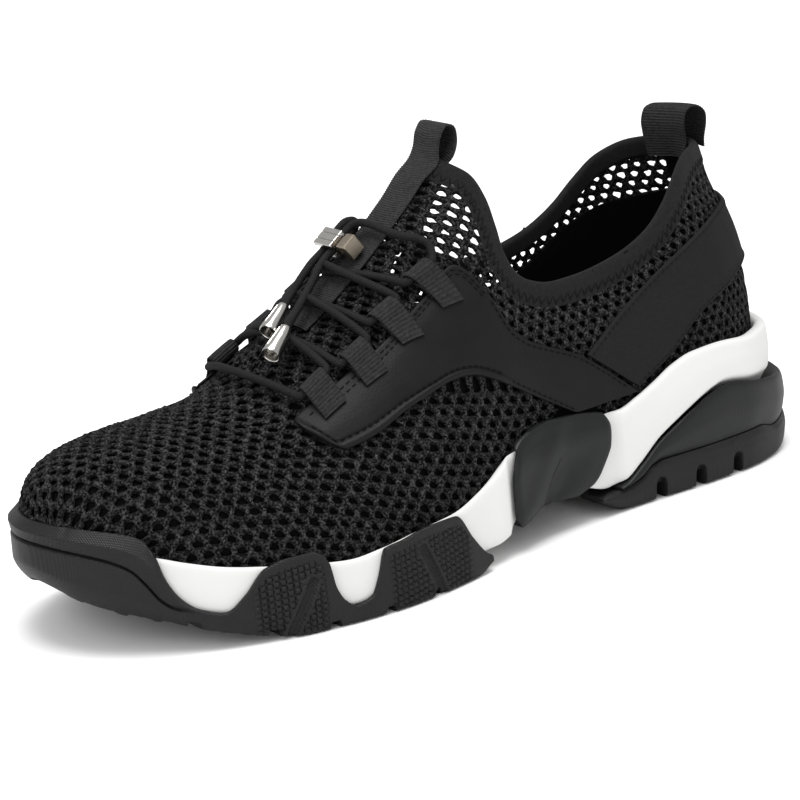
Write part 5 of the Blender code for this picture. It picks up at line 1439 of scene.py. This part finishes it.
# Relief of the lugs: rounded squares |sin||sin| inside a smooth border, and slanted slashes.
def lugRelief(x, z, bottom, top):
    lug = ease(x, 14, 17) * (1 - ease(x, 49, 51)) + ease(x, 72, 75) * (1 - ease(x, 94, 98))
    inside = lug * ease(top - z, 2.6, 3.6) * ease(z - bottom, 0.8, 1.8)
    p = np.pi / outsole["waffle"]
    squares = 1 - (1 - np.abs(np.sin(p * x) * np.sin(p * (z + 0.15 * x)))) ** 2
    relief = inside * outsole["waffleHeight"] * (squares - 0.75)
    for (ax, az), (bx, bz) in outsole["slashes"]:
        t = np.clip(((x - ax) * (bx - ax) + (z - az) * (bz - az)) / ((bx - ax) ** 2 + (bz - az) ** 2), 0, 1)
        away = np.hypot(x - ax - t * (bx - ax), z - az - t * (bz - az))
        cut = 1 - ease(away, outsole["slashWidth"] - 0.4, outsole["slashWidth"] + 0.3)
        border = ease(away, 1.4, 2.0) * (1 - ease(away, 2.3, 3.0))
        relief = relief * (1 - cut) * (1 - border) - outsole["slashDepth"] * cut + 0.15 * border * lug
    return relief


# Rings up the outer face, with the bumper's groove, over the lip and down inside to the plate.
def buildOutsole():
    x = np.concatenate([np.arange(4, 12.6, 1.0), np.arange(12.6, 51.5, 0.35), np.arange(51.6, 71.2, 0.6),
                        np.arange(71.4, 98.3, 0.35), np.arange(98.5, 120, 0.7),
                        120 + 27.5 * np.sin(np.linspace(0, np.pi / 2, 70))])
    bottom, top = column(foreBottom, 1, x), column(foreTop, 1, x)
    cut = bottom + grooved(x, outsole["grooves"], outsole["grooveWidth"], outsole["grooveDepth"])
    for place in outsole["toeLugs"]:
        cut = cut - outsole["toeLug"] * (1 - ease(np.abs(x - place), 1.0, 1.7))
    rim = column(rimTop, 1, x) + gap
    tall = top - bottom
    plate = np.minimum(bottom + outsole["plate"], top - 0.8)
    lip = ease(top - rim, 1.5, 5.0)
    underLip = np.where(lip > 0, np.minimum(rim, top - 0.3), top - 0.3)
    inner = rubberWall + lip * (ledgeWidth - 2 * gap - rubberWall + leanIn(x, top))
    innerLow = rubberWall + lip * (ledgeWidth - 2 * gap - rubberWall + 0.7 * leanIn(x, underLip))
    bumper = ease(x, 110, 124)
    step = np.minimum(0.6, 0.1 * tall)
    grooveZ = np.where(x > 104, column(bumperGroove, 1, x), bottom + 0.55 * tall)
    grooveZ = np.clip(grooveZ, bottom + 0.3 * tall, bottom + 0.8 * tall)
    outerTop = inner - rubberWall + 0.2
    face = 0.2 * bumper
    below = np.maximum(0.5 * (bottom + grooveZ - step), cut + 2 * step)
    above = (0.6 - 0.2 * bumper) * (grooveZ + step) + (0.4 + 0.2 * bumper) * (top - 0.5)
    rings = [(2.2 + 1.5 * bumper, cut), (0.6 + 0.6 * bumper, cut + step), (0.0, below),
             (face, grooveZ - step), (face + 1.7 * bumper, grooveZ), (0.4 * bumper, grooveZ + step),
             (0.45 * outerTop - 1.3 * bumper, above), (outerTop, top - 0.5), (outerTop + 0.5, top),
             (inner, top - 0.15), (innerLow, underLip), (rubberWall, underLip - 0.1), (rubberWall, plate)]
    splits = (3, 26, 26, 4, 4, 14, 20, 3, 4, 4, 1, 2)
    inset, z = refine(rings, splits, x, 2)
    row = np.arange(len(z))[:, None]
    low, outside = row < sum(splits[:3]), row < sum(splits[:7]) + 1
    inset = inset + low * bumper * outsole["curl"] * np.clip(1 - (z - bottom) / 9.0, 0, 1) ** 2
    inset = inset - np.where(outside, lugRelief(x[None], z, bottom, top), 0.0)
    addLoft("foreSole", x, (inset, z), False, "rubber", ("outsole_forefoot",), 45)


# Rings from the dish over the heel block out to the side, up to the rim and in to the footbed.
def buildMidsole():
    x = stations(soleEnds, 260)
    under = column(foreBottom, 1, x) + outsole["plate"] + gap
    blend = ease(x, 6, 10)
    bottom = column(whiteBottom, 1, x) * (1 - blend) + under * blend
    top = column(rimTop, 1, x)
    bed = footbed(drawnIn(x, ledge(x))[0])
    saddle = ease(x, -66, -60.5) - ease(x, -11, -7.5)
    side = 0.7 + 4.3 * ease(-x, 118, 152)
    side = side + (rubberWall + gap + 0.6 * ease(x, 130, 145) - side) * ease(x, -3, 3)
    side = side + (rubberWall + 4 * gap - side) * saddle
    bulge = 0.6 * (1 - ease(x, -90, -62))
    inner = ledge(x) - 2 * gap
    rings = [(9.3, bottom - heelDish(x) + 5 * gap), (side + 1.2, bottom), (side, bottom + 1.0),
             (side - bulge, 0.5 * (bottom + top)), (side, top - 1.2), (side + 0.7, top),
             (inner + 0.5 * leanIn(x, top), top), (inner, bed)]
    addLoft("foamMidsole", x, refine(rings, (3, 3, 8, 8, 3, 4, 3), x, 2), True, "foam", ("midsole",), 60)


# Rings from the tread's top to the foam, fullest near mid height.
def buildHeelBlock():
    x = -62.0 - 98.5 * np.sin(np.linspace(0, np.pi / 2, 120))
    low, high = column(treadTop, 1, x) + gap, column(whiteBottom, 1, x) - gap
    tall = high - low
    rings = [(1.6, low), (0.6, low + 0.15 * tall), (-0.3, low + 0.45 * tall), (0.2, low + 0.8 * tall),
             (1.2, high), (9.0, high - heelDish(x))]
    addLoft("heelBlock", x, refine(rings, (4, 6, 6, 4, 4), x, 3), False, "moulding", ("heel_block",))


# Rings up the side from the grooved bottom; a notch is an arch cut in over each groove.
def buildHeelTread():
    x = np.concatenate([np.arange(-53, -140, -0.5), -140 - 20.5 * np.sin(np.linspace(0, np.pi / 2, 50))])
    bottom, top = column(treadBottom, 1, x), column(treadTop, 1, x)
    cut = bottom + grooved(x, tread["grooves"], tread["width"], tread["depth"])
    rings = [(3.0, cut), (0.7, cut + 0.25 * np.minimum(top - cut, 4.0)),
             (0.0, np.maximum(cut + 0.6, 0.6 * top + 0.4 * bottom)), (0.3, top - 0.15 * (top - cut)),
             (1.3, top)]
    inset, z = refine(rings, (4, 10, 8, 4), x, 2)
    over = np.maximum(z - tread["notch"] + 2.0, 0)             # height over the straight part of a notch
    arch = sum((1 - ease(np.hypot(over, x[None] - place), 1.7, 2.3)) for place in tread["grooves"])
    addLoft("heelTread", x, (inset + tread["notchDepth"] * arch, z), False, "rubber", ("heel_tread",))


# Saddle: side walls joined under the waist; the raised band runs along its top and down its front leg.
def buildSaddle():
    levels = np.concatenate([np.linspace(1.0, 0.8, 14), np.linspace(0.78, 0.0, 34)])
    e = np.linspace(0, 1, 70)[:, None]
    rear, front = column(saddleEdges, 1, levels), column(saddleEdges, 2, levels)
    x = rear + (front - rear) * e
    level = np.broadcast_to(levels, x.shape)
    low, high = column(saddleBottom, 1, x), column(saddleTop, 1, x)
    z = low + level * (high - low)
    rise = z - column(rimTop, 1, x)
    over = ledgeWidth - 1.0 + gap - rubberWall + leanIn(x, z)
    inner = rubberWall + ease(rise, 0.3, 2.5) * over
    behind = -24.3 - 0.78 * (z - 14.1) - x                   # distance behind the valley's line
    valley = 1.7 * ease(behind, -1.2, 1.0) * (1 - ease(behind, 4, 20)) * (1 - ease(z, 21, 31))
    swell = 0.7 * np.exp(-((behind + 7.0) / 5.5) ** 2)
    edge = np.minimum(np.minimum(x - rear, front - x), (1 - level) * (high - low) + 0.2)
    relief = valley - swell - 0.4 + 1.1 * (1 - edgeRound(edge, 2.6))
    outer = np.minimum(ease(rise, -6, 4) * over + relief * ease(level, -0.05, 0.15), inner - 0.8)
    outer = soften(outer.T, 8).T

    def wall(inset, lift):
        px, half = drawnIn(x, inset)
        lateral, medial = (np.stack([px, centre(px) + s * half, z + lift], -1) for s in (1, -1))
        share = np.linspace(0.9, -0.9, 13)
        low = px[:, -1:], half[:, -1:], (z + lift)[:, -1:]
        under = np.stack([low[0] + 0 * share, centre(low[0]) + share * low[1], low[2] + 0 * share], -1)
        return np.concatenate([lateral, under, medial[:, ::-1]], 1)

    floor = rubberWall * (1 - ease(level, 0.0, 0.12))
    skin = shell(wall(outer, 0 * z), wall(inner, floor))
    addPiece("waistSaddle", *skin, "moulding", ("waist_saddle",), sharp=60)


buildOutsole()
buildMidsole()
buildHeelBlock()
buildHeelTread()
buildSaddle()
print("sole made")
